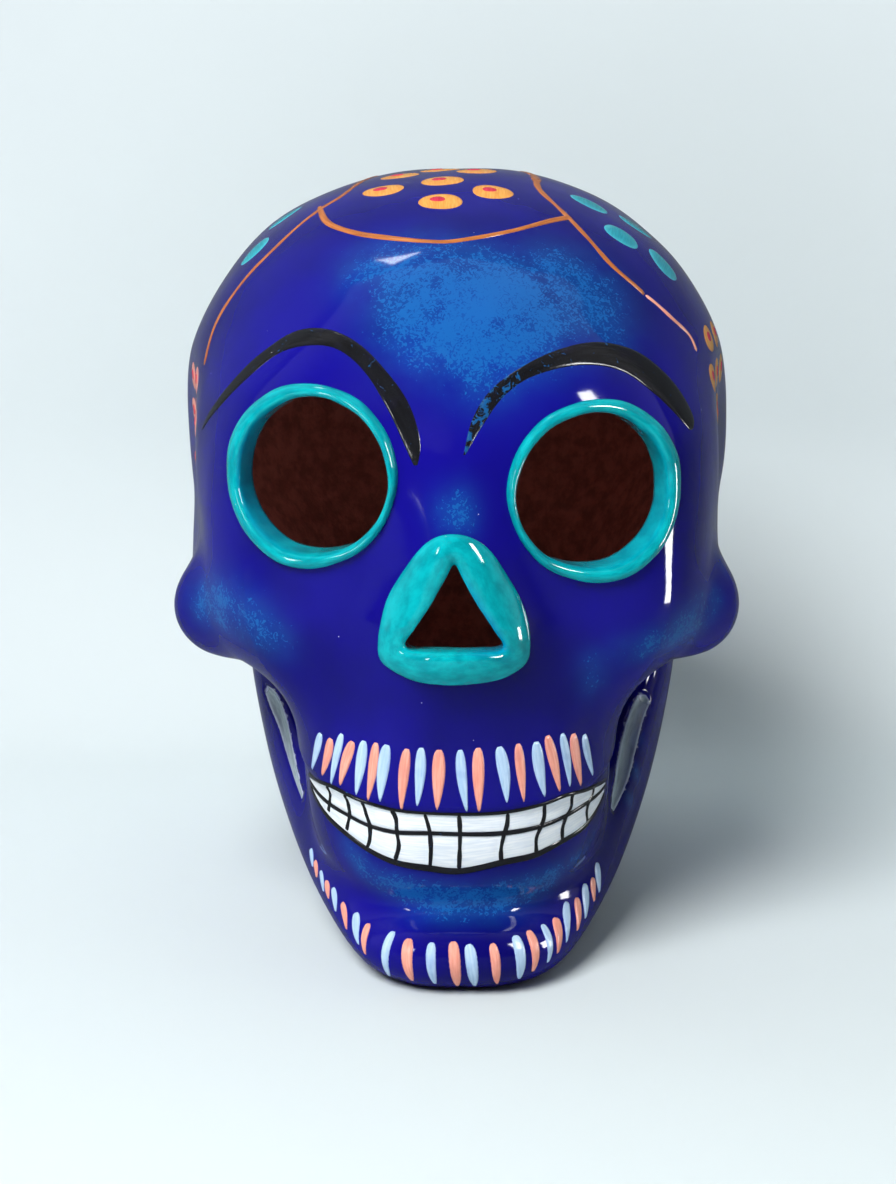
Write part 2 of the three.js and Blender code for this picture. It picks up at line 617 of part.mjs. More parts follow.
// Mouth: places on the muzzle at an angle from the front and a height from the bite line.
function mouthPoint(angleShare, heightAbove) {
  const angle = angleShare * MOUTH_HALF_ANGLE;
  const direction = vec(Math.sin(angle), -Math.cos(angle), -BITE_SLOPE * Math.cos(angle));
  const start = vec(0, -MUZZLE_FORWARD, biteRise(-MUZZLE_FORWARD) + heightAbove);
  return surfacePoint(start, direction, 0);
}

const upperHeight = (share) => UPPER_TOOTH_HEIGHT * (1 - UPPER_TAPER_SHARE * share ** UPPER_TAPER_POWER);
const lowerHeight = (share) => LOWER_TOOTH_HEIGHT * (1 - LOWER_TAPER_SHARE * share ** LOWER_TAPER_POWER);
const mouthShares = Array.from({ length: MOUTH_STEPS + 1 }, (_, i) => (2 * i) / MOUTH_STEPS - 1);

function toothBand(heightAt, side) {
  const biteEdge = mouthShares.map((share) => mouthPoint(share, side * CLEARANCE));
  const gumEdge = mouthShares.map((share) => mouthPoint(share, side * heightAt(share)));
  return firstLayer.intersect(stripCutter(biteEdge, gumEdge));
}

function mouthOutline() {
  const edgeHalf = () => MOUTH_EDGE_WIDTH / 2;
  const lineHalf = () => TOOTH_LINE_WIDTH / 2;
  const line = (heightAt) => mouthShares.map((share) => mouthPoint(share, heightAt(share)));
  let cutter = strokeCutter(line(() => 0), lineHalf)
    .add(strokeCutter(line(upperHeight), lineHalf))
    .add(strokeCutter(line((share) => -lowerHeight(share)), edgeHalf));
  for (const share of TOOTH_LINE_SHARES) {
    const middle = (upperHeight(share) - lowerHeight(share)) / 2;
    const heights = [upperHeight(share), middle, -lowerHeight(share)];
    cutter = cutter.add(strokeCutter(heights.map((height) => mouthPoint(share, height)), lineHalf));
  }
  for (const share of [-1, 1]) {
    const ends = [upperHeight(share), -lowerHeight(share)].map((height) => mouthPoint(share, height));
    cutter = cutter.add(strokeCutter(ends, lineHalf));
  }
  return secondLayer.intersect(cutter);
}

// Places on the face seen from the front, and on the crown seen from the skull's middle.
function facePoint(side, rise) {
  return surfacePoint(vec(side, -EYE_FORWARD + OVERRUN, rise), vec(0, -1, 0), 0);
}

function crownPoint([side, depth, rise]) {
  const half = vec(CRANIUM_WIDTH, CRANIUM_DEPTH, CRANIUM_HEIGHT).multiplyScalar(1 / 2);
  const aim = vec(side, depth, rise).multiply(half).add(vec(0, CRANIUM_BACK, CRANIUM_RISE));
  const direction = aim.sub(centre).normalize();
  return surfacePoint(centre, direction, 0);
}

function eyebrow(eye, shares) {
  const places = shares.map(([out, up]) => {
    const side = eyeSide(eye) + out * (out < 0 ? eyeSide(eye) : faceSide - eyeSide(eye));
    return facePoint(eye.side * side, eye.rise + (up * EYE_RIM_HEIGHT) / 2);
  });
  const widths = new THREE.CatmullRomCurve3(shares.map(([, , width]) => vec(width, 0, 0)));
  const halfWidth = (share) => (widths.getPoint(share).x * BROW_WIDTH) / 2;
  const cutter = strokeCutter(spread(places, STROKE_STEPS), halfWidth);
  return firstLayer.intersect(cutter).subtract(openings);
}

function crownLines() {
  const half = () => CROWN_LINE_WIDTH / 2;
  const strokes = [CROWN_ARC_SHARES, CROWN_RIGHT_LINE_SHARES, CROWN_LEFT_LINE_SHARES]
    .map((shares) => strokeCutter(spread(shares.map(crownPoint), STROKE_STEPS), half));
  return firstLayer.intersect(strokes[0].add(strokes[1]).add(strokes[2]));
}

function dot(shares, width) {
  const point = crownPoint(shares);
  const axis = point.clone().sub(centre).normalize();
  const across = vec(0, 1, 0).cross(axis).normalize();
  const ring = ovalRing(point, across, axis.clone().cross(across), width / 2, width / 2, DOT_SIDES);
  return firstLayer.intersect(loft([ring.map(inwards), ring.map(outwards)]));
}

// The clay pieces

const bodyShell = outerForm.subtract(cavity).intersect(aboveGround);
const faceShell = bodyShell
  .intersect(beforeSeam)
  .subtract(jawSpace(0))
  .subtract(openings)
  .subtract(slots);
const craniumBack = bodyShell.intersect(behindSeam);

// The bar keeps clear of the pressings behind it, and joins the tooth wall inside the jaw's space.
const pressings = clearForm.subtract(jawSpace(2 * CLEARANCE));
const lowerJaw = jawBar()
  .subtract(pressings)
  .add(outerForm.intersect(jawSpace(CLEARANCE)))
  .subtract(cavity)
  .intersect(aboveGround)
  .subtract(slots);

// Assembly

const skull = new THREE.Group();

function finish(color, roughness) {
  return new THREE.MeshStandardMaterial({ color, roughness, metalness: 0 });
}

function put(name, solid, color, roughness) {
  const mesh = new THREE.Mesh(geometryOf(solid), finish(color, roughness));
  mesh.name = name;
  skull.add(mesh);
}

const BLUE_GLAZE = 0x1a1196;
const TEAL_GLAZE = 0x00a5af;
const BLACK_ENAMEL = 0x1c1c1c;
const WHITE_ENAMEL = 0xf0f0f2;
const ORANGE_ENAMEL = 0xc87830;
const YELLOW_ENAMEL = 0xe6a546;
const TEAL_ENAMEL = 0x1e96aa;
const GLAZE_ROUGHNESS = 0.12;
const ENAMEL_ROUGHNESS = 0.2;

put('face_shell', faceShell, BLUE_GLAZE, GLAZE_ROUGHNESS);
put('cranium_back_shell', craniumBack, BLUE_GLAZE, GLAZE_ROUGHNESS);
put('lower_jaw', lowerJaw, BLUE_GLAZE, GLAZE_ROUGHNESS);
const leftEyeRim = rim(leftEyeFrame, eyeOutline(leftEye), eyeOpening(leftEye));
const rightEyeRim = rim(rightEyeFrame, eyeOutline(rightEye), eyeOpening(rightEye));
put('left_eye_rim', leftEyeRim, TEAL_GLAZE, GLAZE_ROUGHNESS);
put('right_eye_rim', rightEyeRim, TEAL_GLAZE, GLAZE_ROUGHNESS);
put('nose_rim', rim(noseFrame, noseOutline, noseOpening), TEAL_GLAZE, GLAZE_ROUGHNESS);
put('left_eyebrow', eyebrow(leftEye, LEFT_BROW_SHARES), BLACK_ENAMEL, ENAMEL_ROUGHNESS);
put('right_eyebrow', eyebrow(rightEye, RIGHT_BROW_SHARES), BLACK_ENAMEL, ENAMEL_ROUGHNESS);
put('upper_teeth', toothBand(upperHeight, 1), WHITE_ENAMEL, ENAMEL_ROUGHNESS);
put('lower_teeth', toothBand(lowerHeight, -1), WHITE_ENAMEL, ENAMEL_ROUGHNESS);
put('mouth_outline', mouthOutline(), BLACK_ENAMEL, ENAMEL_ROUGHNESS);
put('crown_lines', crownLines(), ORANGE_ENAMEL, ENAMEL_ROUGHNESS);
FLOWER_DOT_SHARES.forEach((shares, i) =>
  put(`flower_dot_${i + 1}`, dot(shares, CROWN_DOT_WIDTH), YELLOW_ENAMEL, ENAMEL_ROUGHNESS));
TEAL_DOT_SHARES.forEach((shares, i) =>
  put(`teal_dot_${i + 1}`, dot(shares, TEAL_DOT_WIDTH), TEAL_ENAMEL, ENAMEL_ROUGHNESS));

export default skull;
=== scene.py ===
"""Dresses the hollow clay skull: glaze, clay rims, teeth and every brush stroke.

Lengths are in millimetres, as in the solids, and become metres where a mesh is made.
Pixels are those of the photograph, 896 by 1184.
"""

import math

import bpy
import numpy as np
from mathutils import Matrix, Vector


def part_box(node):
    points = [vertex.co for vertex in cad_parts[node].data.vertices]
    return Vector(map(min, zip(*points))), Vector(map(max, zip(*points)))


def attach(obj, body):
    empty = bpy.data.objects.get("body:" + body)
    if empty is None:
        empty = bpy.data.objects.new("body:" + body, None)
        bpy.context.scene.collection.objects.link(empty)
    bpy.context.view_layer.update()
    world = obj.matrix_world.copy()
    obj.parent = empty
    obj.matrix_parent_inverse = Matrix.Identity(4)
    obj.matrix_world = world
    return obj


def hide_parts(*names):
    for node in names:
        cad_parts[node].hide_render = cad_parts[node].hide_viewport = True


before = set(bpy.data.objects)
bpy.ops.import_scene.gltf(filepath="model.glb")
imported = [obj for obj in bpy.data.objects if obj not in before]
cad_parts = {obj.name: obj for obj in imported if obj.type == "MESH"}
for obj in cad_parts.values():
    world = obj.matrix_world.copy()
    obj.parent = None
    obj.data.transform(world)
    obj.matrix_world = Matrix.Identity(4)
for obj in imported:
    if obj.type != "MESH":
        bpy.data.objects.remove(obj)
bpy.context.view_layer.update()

METRES = 0.001

# Camera
PHOTO_SIZE = np.array([896.0, 1184.0])
CAMERA_ELEVATION = math.radians(12)
CAMERA_DISTANCE = 560
LENS = 70
SENSOR = 36
AIM_HEIGHT = 90
AIM_PIXEL = np.array([456.5, 520.0])

# Forms of the skull: sizes, places and roundness
CRANIUM_SIZES = (131, 164, 120)
CRANIUM_MIDDLE = (0, 7, 114)
NECK_SIZES = (92, 108, 128)
NECK_MIDDLE = (0, 26, 50)
TEMPLE_SIZES = (34, 52, 52)
TEMPLE_MIDDLE = (78, -24, 112)
FACE_SIZES = (113, 90, 86)
FACE_MIDDLE = (0, -34, 103)
MUZZLE_SIZES = (72, 77, 92)
MUZZLE_MIDDLE = (0, -45, 48)
CRANIUM_POWER = 2.2
NECK_POWER = 2.1
TEMPLE_POWER = 2
FACE_POWER = 2.6
MUZZLE_POWER = 2.3
CHEEK_INNER = (34, -56, 79)
CHEEK_TIP = (53, -36, 77)
CHEEK_END = (56, 0, 86)
CHEEK_RADII = (14, 9.5, 6)
NASAL_TOP = (0, -74, 114)
NASAL_FOOT = (0, -76, 82)
NASAL_RADII = (7, 13)
NECK_BLEND = 16
TEMPLE_BLEND = 10
FACE_BLEND = 10
CHEEK_BLEND = 12
CHEEK_BAR_BLEND = 8
MUZZLE_BLEND = 16
JAW_BLEND = 6
LIP_STEP = 1.2
LIP_ROUNDING = 3.4
WALL = 5.5
FOOT_ROUNDING = 1.6
SEAM_BACK = 7

# Mouth
BITE_FRONT_FORWARD = 82.3
BITE_FRONT_RISE = 36.8
BITE_SLOPE = 0.33
UPPER_TOOTH_HEIGHT = 5
LIP_SLOPE = 0.17

# Jaw bar: shares of half width, length, rise, thickness and depth from the chin to the ear
JAW_LEFT_SIDE = 48
JAW_RIGHT_SIDE = 45
CHIN_SIDE = 1
JAW_CHIN_FORWARD = 74
JAW_LENGTH = 83
JAW_RISE = 72
JAW_THICKNESS = 11
JAW_DEPTH = 14
JAW_REAR_FORWARD = 22
JAW_STATION_SHARES = np.array([
    [0, 0, 0.104, 1, 0.58],
    [0.19, 0.016, 0.108, 0.955, 0.58],
    [0.372, 0.115, 0.13, 0.8, 0.57],
    [0.61, 0.37, 0.25, 0.682, 0.66],
    [0.81, 0.69, 0.415, 0.636, 0.88],
    [0.94, 0.9, 0.6, 0.591, 1],
    [1, 0.988, 0.806, 0.591, 1],
    [1, 1, 1, 0.545, 0.857],
])
# Slots in the bar: pixels of the photograph down the middle, with the half width there
SLOTS = [
    [(645, 699, 6.5), (638, 713, 7), (630.5, 740, 7.5), (625.5, 765, 7.5), (621, 783, 6), (616, 799, 4),
     (613, 810, 1.5)],
    [(265, 689, 4), (272, 700, 7), (282, 724, 5.5), (287, 744, 4.5), (296, 778, 2.8), (302, 798, 1.2)],
]
SLOT_RISE = 0.1
SLOT_MARGIN = 5
SLOT_STEPS = 14
SLOT_SLIP_TURN = 1.3
SLOT_SLIP = 0.28

# Openings and rims
EYE_RIM_SIZES = (40.6, 38.6)
EYE_RIM_BAND = 3
EYE_OPENING_SHIFT = 1
EYE_FORWARD = 76
LEFT_EYE = (30.2, 109.5)
RIGHT_EYE = (-32.8, 112.5)
EYE_TURN = math.radians(18)
NOSE_RIM_SIZES = (31.8, 31.8)
NOSE_OPENING_SIZES = (21, 18)
NOSE_OPENING_LIFT = 0.5
NOSE = (-0.8, 85.7)
NOSE_LEAN = math.radians(4)
RIM_PROUD = 1.8
RIM_DEPTH = 7
NOSE_RIM_SHARES = [
    (0, 1), (0.37, 0.87), (0.67, 0.5), (0.91, 0.04), (1, -0.44), (0.93, -0.75), (0.55, -0.95), (0, -1),
]
NOSE_OPENING_SHARES = [
    (0, 1), (0.15, 0.72), (0.43, 0.14), (0.78, -0.5), (0.96, -0.86), (0.84, -1), (0.42, -1), (0, -1),
]
RIM_SECTION_SHARES = [(0, -1), (0, 0.35), (0.22, 0.9), (0.5, 1), (0.8, 0.7), (1, -0.1), (1, -1)]
RIM_POINTS = 192

# Meshing
GRID_STEP = 1.2
SLAB = 12


def unit(vectors):
    return vectors / np.linalg.norm(vectors, axis=-1, keepdims=True)


# Camera


def camera_axes():
    """Right, up and forward of the camera."""
    elevation = CAMERA_ELEVATION
    right = np.array([1.0, 0, 0])
    up = np.array([0, math.sin(elevation), math.cos(elevation)])
    forward = np.array([0, math.cos(elevation), -math.sin(elevation)])
    return right, up, forward


FOCAL_PIXELS = LENS / SENSOR * PHOTO_SIZE[1]


def photo_direction(pixels):
    """Direction from the camera through pixels of the photograph."""
    right, up, forward = camera_axes()
    across, down = np.moveaxis((np.asarray(pixels, float) - PHOTO_SIZE / 2) / FOCAL_PIXELS, -1, 0)
    return unit(forward + across[..., None] * right - down[..., None] * up)


def camera_place():
    aim = np.array([0, 0, AIM_HEIGHT])
    _, _, forward = camera_axes()
    ray = photo_direction(AIM_PIXEL)
    return aim - ray * CAMERA_DISTANCE / (ray @ forward)


def make_camera():
    data = bpy.data.cameras.new("photo_camera")
    data.lens = LENS
    data.sensor_width = SENSOR
    camera = bpy.data.objects.new("photo_camera", data)
    bpy.context.scene.collection.objects.link(camera)
    camera.location = camera_place() * METRES
    camera.rotation_euler = (math.pi / 2 - CAMERA_ELEVATION, 0, 0)
    bpy.context.scene.camera = camera


make_camera()


# Distance fields, negative inside the clay. A point is a row of x, y, z.


def blend(a, b, radius):
    """Smooth union of two distances."""
    overlap = np.maximum(radius - np.abs(a - b), 0) / radius
    return np.minimum(a, b) - overlap * overlap * radius / 4


def cut(a, b, radius):
    """What is left of a once b is taken out, with a rounded edge."""
    return -blend(-a, b, radius)


def egg(p, middle, sizes, power):
    radii = np.array(sizes) / 2
    q = np.abs(p - np.array(middle)) / radii
    reach = np.maximum((q**power).sum(-1) ** (1 / power), 1e-6)
    slope = np.linalg.norm(q ** (power - 1) / radii, axis=-1)
    return (reach - 1) * reach ** (power - 1) / np.maximum(slope, 1e-9)


def bar(p, start, end, start_radius, end_radius):
    run = np.array(end, float) - start
    to = p - np.array(start)
    share = np.clip(to @ run / (run @ run), 0, 1)
    off = np.linalg.norm(to - share[..., None] * run, axis=-1)
    return off - start_radius - share * (end_radius - start_radius)


def smoothstep(value, low, high):
    share = np.clip((value - low) / (high - low), 0, 1)
    return share * share * (3 - 2 * share)


def bite_rise(y):
    return BITE_FRONT_RISE + BITE_SLOPE * (y + BITE_FRONT_FORWARD)


def lip_rise(y):
    return BITE_FRONT_RISE + UPPER_TOOTH_HEIGHT + LIP_SLOPE * (y + BITE_FRONT_FORWARD)


# Waver of hand-pressed clay: amplitude in millimetres, wave vector, phase.
WAVER = [
    (0.16, (0.11, 0.05, 0.09), 0.4),
    (0.14, (-0.07, 0.12, 0.06), 1.9),
    (0.10, (0.17, -0.08, 0.14), 3.3),
    (0.07, (-0.21, 0.11, 0.19), 5.1),
]


def waver(p):
    return sum(size * np.sin(p @ np.array(wave) + phase) for size, wave, phase in WAVER)


def skull_form(p):
    """The pressed skull without the jaw bar."""
    q = p.copy()
    q[..., 0] = np.abs(q[..., 0])
    form = blend(
        egg(q, CRANIUM_MIDDLE, CRANIUM_SIZES, CRANIUM_POWER),
        egg(q, NECK_MIDDLE, NECK_SIZES, NECK_POWER),
        NECK_BLEND,
    )
    form = cut(form, egg(q, TEMPLE_MIDDLE, TEMPLE_SIZES, TEMPLE_POWER), TEMPLE_BLEND)
    face = egg(q, FACE_MIDDLE, FACE_SIZES, FACE_POWER)
    face = blend(face, bar(q, CHEEK_INNER, CHEEK_TIP, *CHEEK_RADII[:2]), CHEEK_BLEND)
    face = blend(face, bar(q, CHEEK_TIP, CHEEK_END, *CHEEK_RADII[1:]), CHEEK_BAR_BLEND)
    face = blend(face, bar(q, NASAL_TOP, NASAL_FOOT, *NASAL_RADII), FACE_BLEND)
    form = blend(form, face, FACE_BLEND)
    below_lip = smoothstep(lip_rise(q[..., 1]) - q[..., 2], -LIP_ROUNDING / 2, LIP_ROUNDING / 2)
    muzzle = egg(q, MUZZLE_MIDDLE, MUZZLE_SIZES, MUZZLE_POWER) + LIP_STEP * below_lip
    return blend(form, muzzle, MUZZLE_BLEND) + waver(p)


def smooth_curve(points, counts, closed=False):
    """Points of a Catmull-Rom curve through the given ones, counts from end to end."""
    points = np.asarray(points, float)
    if closed:
        padded = np.vstack([points[-1:], points, points[:2]])
        spans = len(points)
        places = np.arange(counts) / counts * spans
    else:
        padded = np.vstack([2 * points[0] - points[1], points, 2 * points[-1] - points[-2]])
        spans = len(points) - 1
        places = np.linspace(0, spans, counts)
    index = np.minimum(places.astype(int), spans - 1)
    t = (places - index)[:, None]
    a, b, c, d = (padded[index + i] for i in range(4))
    return b + 0.5 * t * (c - a + t * (2 * a - 5 * b + 4 * c - d + t * (3 * (b - c) + d - a)))


def jaw_controls():
    """Places and half sizes along the jaw bar from ear to ear, with a padding row at each end."""
    side, along, rise, thick, deep = JAW_STATION_SHARES.T
    shared = [
        along * JAW_LENGTH - JAW_CHIN_FORWARD,
        rise * JAW_RISE,
        thick * JAW_THICKNESS,
        deep * JAW_DEPTH,
    ]
    left = np.stack([CHIN_SIDE + side * (JAW_LEFT_SIDE - CHIN_SIDE), *shared], -1)
    right = np.stack([CHIN_SIDE - side * (JAW_RIGHT_SIDE + CHIN_SIDE), *shared], -1)
    rows = np.vstack([right[:0:-1], left])
    return np.vstack([2 * rows[:1] - rows[1:2], rows, 2 * rows[-1:] - rows[-2:-1]])


JAW_CONTROLS = jaw_controls()
JAW_SPANS = len(JAW_STATION_SHARES) - 1


def jaw_curve(share):
    """Place and half sizes at a share of the way from the chin to the ear, and two derivatives."""
    place = (1 + share) * JAW_SPANS
    index = np.clip(place.astype(int), 0, 2 * JAW_SPANS - 1)
    t = (place - index)[:, None]
    a, b, c, d = (JAW_CONTROLS[index + i] for i in range(4))
    first, second, third = (c - a) / 2, (2 * a - 5 * b + 4 * c - d) / 2, (3 * (b - c) + d - a) / 2
    value = b + t * (first + t * (second + t * third))
    slope = (first + t * (2 * second + 3 * t * third)) * JAW_SPANS
    bend = (2 * second + 6 * t * third) * JAW_SPANS**2
    return value, slope[:, :3], bend[:, :3]


JAW_COARSE_SHARES = np.linspace(-1, 1, 16 * JAW_SPANS + 1)
JAW_COARSE = jaw_curve(JAW_COARSE_SHARES)[0][:, :3]
JAW_MARGIN = 24
JAW_REACH_LOW = JAW_COARSE.min(0) - JAW_MARGIN
JAW_REACH_HIGH = JAW_COARSE.max(0) + JAW_MARGIN
FAR = 30.0


def jaw_coordinates(q):
    """Share along the bar, offsets in its section and past its end, and its half sizes there."""
    share = JAW_COARSE_SHARES[((q[:, None, :] - JAW_COARSE) ** 2).sum(-1).argmin(1)]
    for _ in range(4):
        value, slope, bend = jaw_curve(share)
        to = q - value[:, :3]
        speed = (slope**2).sum(-1)
        firmness = np.maximum(speed - (to * bend).sum(-1), 0.3 * speed)
        share = np.clip(share + np.clip((to * slope).sum(-1) / firmness, -0.05, 0.05), -1, 1)
    value, slope, _ = jaw_curve(share)
    to = q - value[:, :3]
    tangent = unit(slope)
    turned = (share**2 / (np.abs(share) + 0.02))[:, None]
    upright = (1 - turned) * [0, BITE_SLOPE, 1] + turned * [0, -1, BITE_SLOPE]
    outward = unit(np.cross(tangent, upright))
    upward = np.cross(outward, tangent)
    past = np.where(np.abs(share) > 1 - 1e-6, np.abs((to * tangent).sum(-1)), 0)
    return share, (to * outward).sum(-1), (to * upward).sum(-1), past, value[:, 3], value[:, 4]


def in_jaw_reach(q):
    return ((q > JAW_REACH_LOW) & (q < JAW_REACH_HIGH)).all(-1)


def oval(flat, radii, past):
    """Distance to an elliptical tube, from offsets in its section and past its end."""
    scaled = flat / radii
    reach = np.maximum(np.linalg.norm(scaled, axis=-1), 1e-6)
    slope = np.linalg.norm(scaled / radii, axis=-1)
    distance = reach * (reach - 1) / np.maximum(slope, 1e-9)
    return np.where(past > 0, np.hypot(np.maximum(distance, 0), past), distance)


def jaw_bar(p):
    q = p.reshape(-1, 3)
    jaw = np.full(len(q), FAR)
    near = np.flatnonzero(in_jaw_reach(q))
    for part in np.array_split(near, max(1, len(near) // 100000)):
        _, out, up, past, thick, deep = jaw_coordinates(q[part])
        jaw[part] = oval(np.stack([out, up], -1), np.stack([thick, deep], -1), past)
    return jaw.reshape(p.shape[:-1])


def clay(p):
    """Outer form of the whole skull, flat where it stands: no hollow, no openings."""
    return cut(blend(skull_form(p), jaw_bar(p), JAW_BLEND), p[..., 2], FOOT_ROUNDING)


def gradient(field, p, reach=0.2):
    steps = np.eye(3) * reach
    return np.stack([field(p + s) - field(p - s) for s in steps], -1) / (2 * reach)


def settle(p, field=clay, rounds=4, level=0.0):
    """Moves points along the gradient onto the field's surface."""
    p = np.array(p, float)
    for _ in range(rounds):
        slope = gradient(field, p)
        p -= ((field(p) - level) / np.maximum((slope**2).sum(-1), 1e-6))[..., None] * slope
    return p


def normals_at(p, field=clay):
    return unit(gradient(field, p))


def cast(start, direction, field=clay, rounds=90):
    """Where rays meet the surface; a ray that misses ends at the nearest place on it."""
    p = np.broadcast_to(start, direction.shape).astype(float).copy()
    nearest = p.copy()
    least = np.full(p.shape[:-1], np.inf)
    for _ in range(rounds):
        gap = field(p)
        closer = np.abs(gap) < least
        least = np.where(closer, np.abs(gap), least)
        nearest[closer] = p[closer]
        p = p + direction * (np.where(np.abs(gap) > 1e-4, gap, 0) * 0.85)[..., None]
    return settle(nearest, field, 3)


def on_photo(pixels):
    """The place on the clay that the photograph shows at a pixel."""
    return cast(camera_place(), photo_direction(pixels))


MIDDLE = np.array([0.0, -8.0, 78.0])
OUTSIDE = 200


def from_middle(aims):
    """The place on the clay in a direction from the skull's middle."""
    aims = unit(np.asarray(aims, float))
    return cast(MIDDLE + OUTSIDE * aims, -aims)


# Openings


def opening_frame(middle, turn, lean):
    outwards = np.array([
        math.sin(turn) * math.cos(lean),
        -math.cos(turn) * math.cos(lean),
        math.sin(lean),
    ])
    across = unit(np.cross([0, 0, 1.0], outwards))
    return np.array(middle, float), across, np.cross(outwards, across), outwards


def oval_outline(sizes, shift=0.0, count=RIM_POINTS):
    turn = np.arange(count) / count * 2 * math.pi
    return np.stack([shift + np.cos(turn) * sizes[0] / 2, np.sin(turn) * sizes[1] / 2], -1)


def share_outline(shares, sizes, lift, count=RIM_POINTS):
    one_side = np.array(shares) * np.array(sizes) / 2 + [0, lift]
    other_side = one_side[-2:0:-1] * [-1, 1]
    return smooth_curve(np.vstack([one_side, other_side]), count, closed=True)


def outline_distance(flat, outline):
    """Signed distance in a plane to a closed outline."""
    start = outline
    run = np.roll(outline, -1, axis=0) - outline
    best = np.full(len(flat), np.inf)
    inside = np.zeros(len(flat), bool)
    for a, r in zip(start, run):
        to = flat - a
        share = np.clip(to @ r / (r @ r), 0, 1)
        best = np.minimum(best, ((to - share[:, None] * r) ** 2).sum(-1))
        crosses = (to[:, 1] < 0) != (to[:, 1] < r[1])
        side = to[:, 0] * r[1] - to[:, 1] * r[0]
        inside ^= crosses & ((side < 0) == (r[1] > 0))
    return np.where(inside, -1, 1) * np.sqrt(best)


def eye_outlines(side):
    band = np.array(EYE_RIM_SIZES) - 2 * EYE_RIM_BAND
    return oval_outline(EYE_RIM_SIZES), oval_outline(band, -side * EYE_OPENING_SHIFT)


def nose_outlines():
    return (
        share_outline(NOSE_RIM_SHARES, NOSE_RIM_SIZES, 0),
        share_outline(NOSE_OPENING_SHARES, NOSE_OPENING_SIZES, NOSE_OPENING_LIFT),
    )


OPENINGS = {
    "left_eye_rim": (
        opening_frame((LEFT_EYE[0], -EYE_FORWARD, LEFT_EYE[1]), EYE_TURN, 0),
        *eye_outlines(1),
    ),
    "right_eye_rim": (
        opening_frame((RIGHT_EYE[0], -EYE_FORWARD, RIGHT_EYE[1]), -EYE_TURN, 0),
        *eye_outlines(-1),
    ),
    "nose_rim": (
        opening_frame((NOSE[0], NASAL_FOOT[1], NOSE[1]), 0, NOSE_LEAN),
        *nose_outlines(),
    ),
}


# How far an opening reaches sideways, into the hollow and out of the face, from its middle
OPENING_SPAN = 26
OPENING_BACK = 32
OPENING_FRONT = 30
OPENING_ROUNDING = 0.8


def openings(p):
    """Distance to the nearest of the three openings, behind the middle of its rim."""
    best = np.full(p.shape[:-1], FAR)
    for (middle, across, upward, outwards), outer_line, inner_line in OPENINGS.values():
        to = p - middle
        flat = np.stack([to @ across, to @ upward], -1)
        height = to @ outwards
        near = (np.abs(flat) < OPENING_SPAN).all(-1)
        near &= (height > -OPENING_BACK - 2) & (height < OPENING_FRONT)
        if near.any():
            half_way = (outer_line[::4] + inner_line[::4]) / 2
            gap = outline_distance(flat[near], half_way)
            best[near] = np.minimum(best[near], np.maximum(gap, -OPENING_BACK - height[near]))
    return best


def make_grooves():
    """Middle line of each slot on the clay and the radius at each place."""
    grooves = []
    for rows in SLOTS:
        rows = smooth_curve(np.array(rows, float), SLOT_STEPS)
        places = on_photo(rows[:, :2])
        normals = normals_at(places)
        view = photo_direction(rows[:, :2])
        facing = np.clip(-(view * normals).sum(-1), 0.9, 1)
        away = np.linalg.norm(places - camera_place(), axis=-1)
        radii = rows[:, 2] * away / FOCAL_PIXELS / facing
        grooves.append((places + normals * (SLOT_RISE * radii)[:, None], radii))
    return grooves


GROOVES = make_grooves()


def slots(p):
    """Distance to the nearest slot of the jaw bar."""
    best = np.full(p.shape[:-1], FAR)
    for places, radii in GROOVES:
        near = ((p > places.min(0) - SLOT_MARGIN) & (p < places.max(0) + SLOT_MARGIN)).all(-1)
        if near.any():
            chain = [bar(p[near], *places[i:i + 2], *radii[i:i + 2]) for i in range(len(places) - 1)]
            best[near] = np.minimum(best[near], np.min(chain, axis=0))
    return best


def body(p):
    """The clay as fired: hollow, open at the eyes, the nose and the neck."""
    skull = skull_form(p)
    whole = cut(blend(skull, jaw_bar(p), JAW_BLEND), slots(p), OPENING_ROUNDING)
    whole = np.maximum(whole, -(skull + WALL))
    whole = cut(whole, openings(p), OPENING_ROUNDING)
    return cut(whole, p[..., 2], FOOT_ROUNDING)


# Meshes


def grid_values(field, low, high, step):
    counts = np.ceil((high - low) / step).astype(int) + 1
    axes = [low[i] + step * np.arange(counts[i]) for i in range(3)]
    values = np.empty(counts, np.float32)
    for start in range(0, counts[0], SLAB):
        xs = axes[0][start:start + SLAB]
        points = np.stack(np.meshgrid(xs, axes[1], axes[2], indexing="ij"), -1)
        flat = points.reshape(-1, 3)
        values[start:start + SLAB] = field(flat).reshape(points.shape[:-1])
    return values


CORNERS = np.array([(i, j, k) for i in (0, 1) for j in (0, 1) for k in (0, 1)])
EDGES = [(a, b) for a in range(8) for b in range(a + 1, 8) if np.abs(CORNERS[a] - CORNERS[b]).sum() == 1]


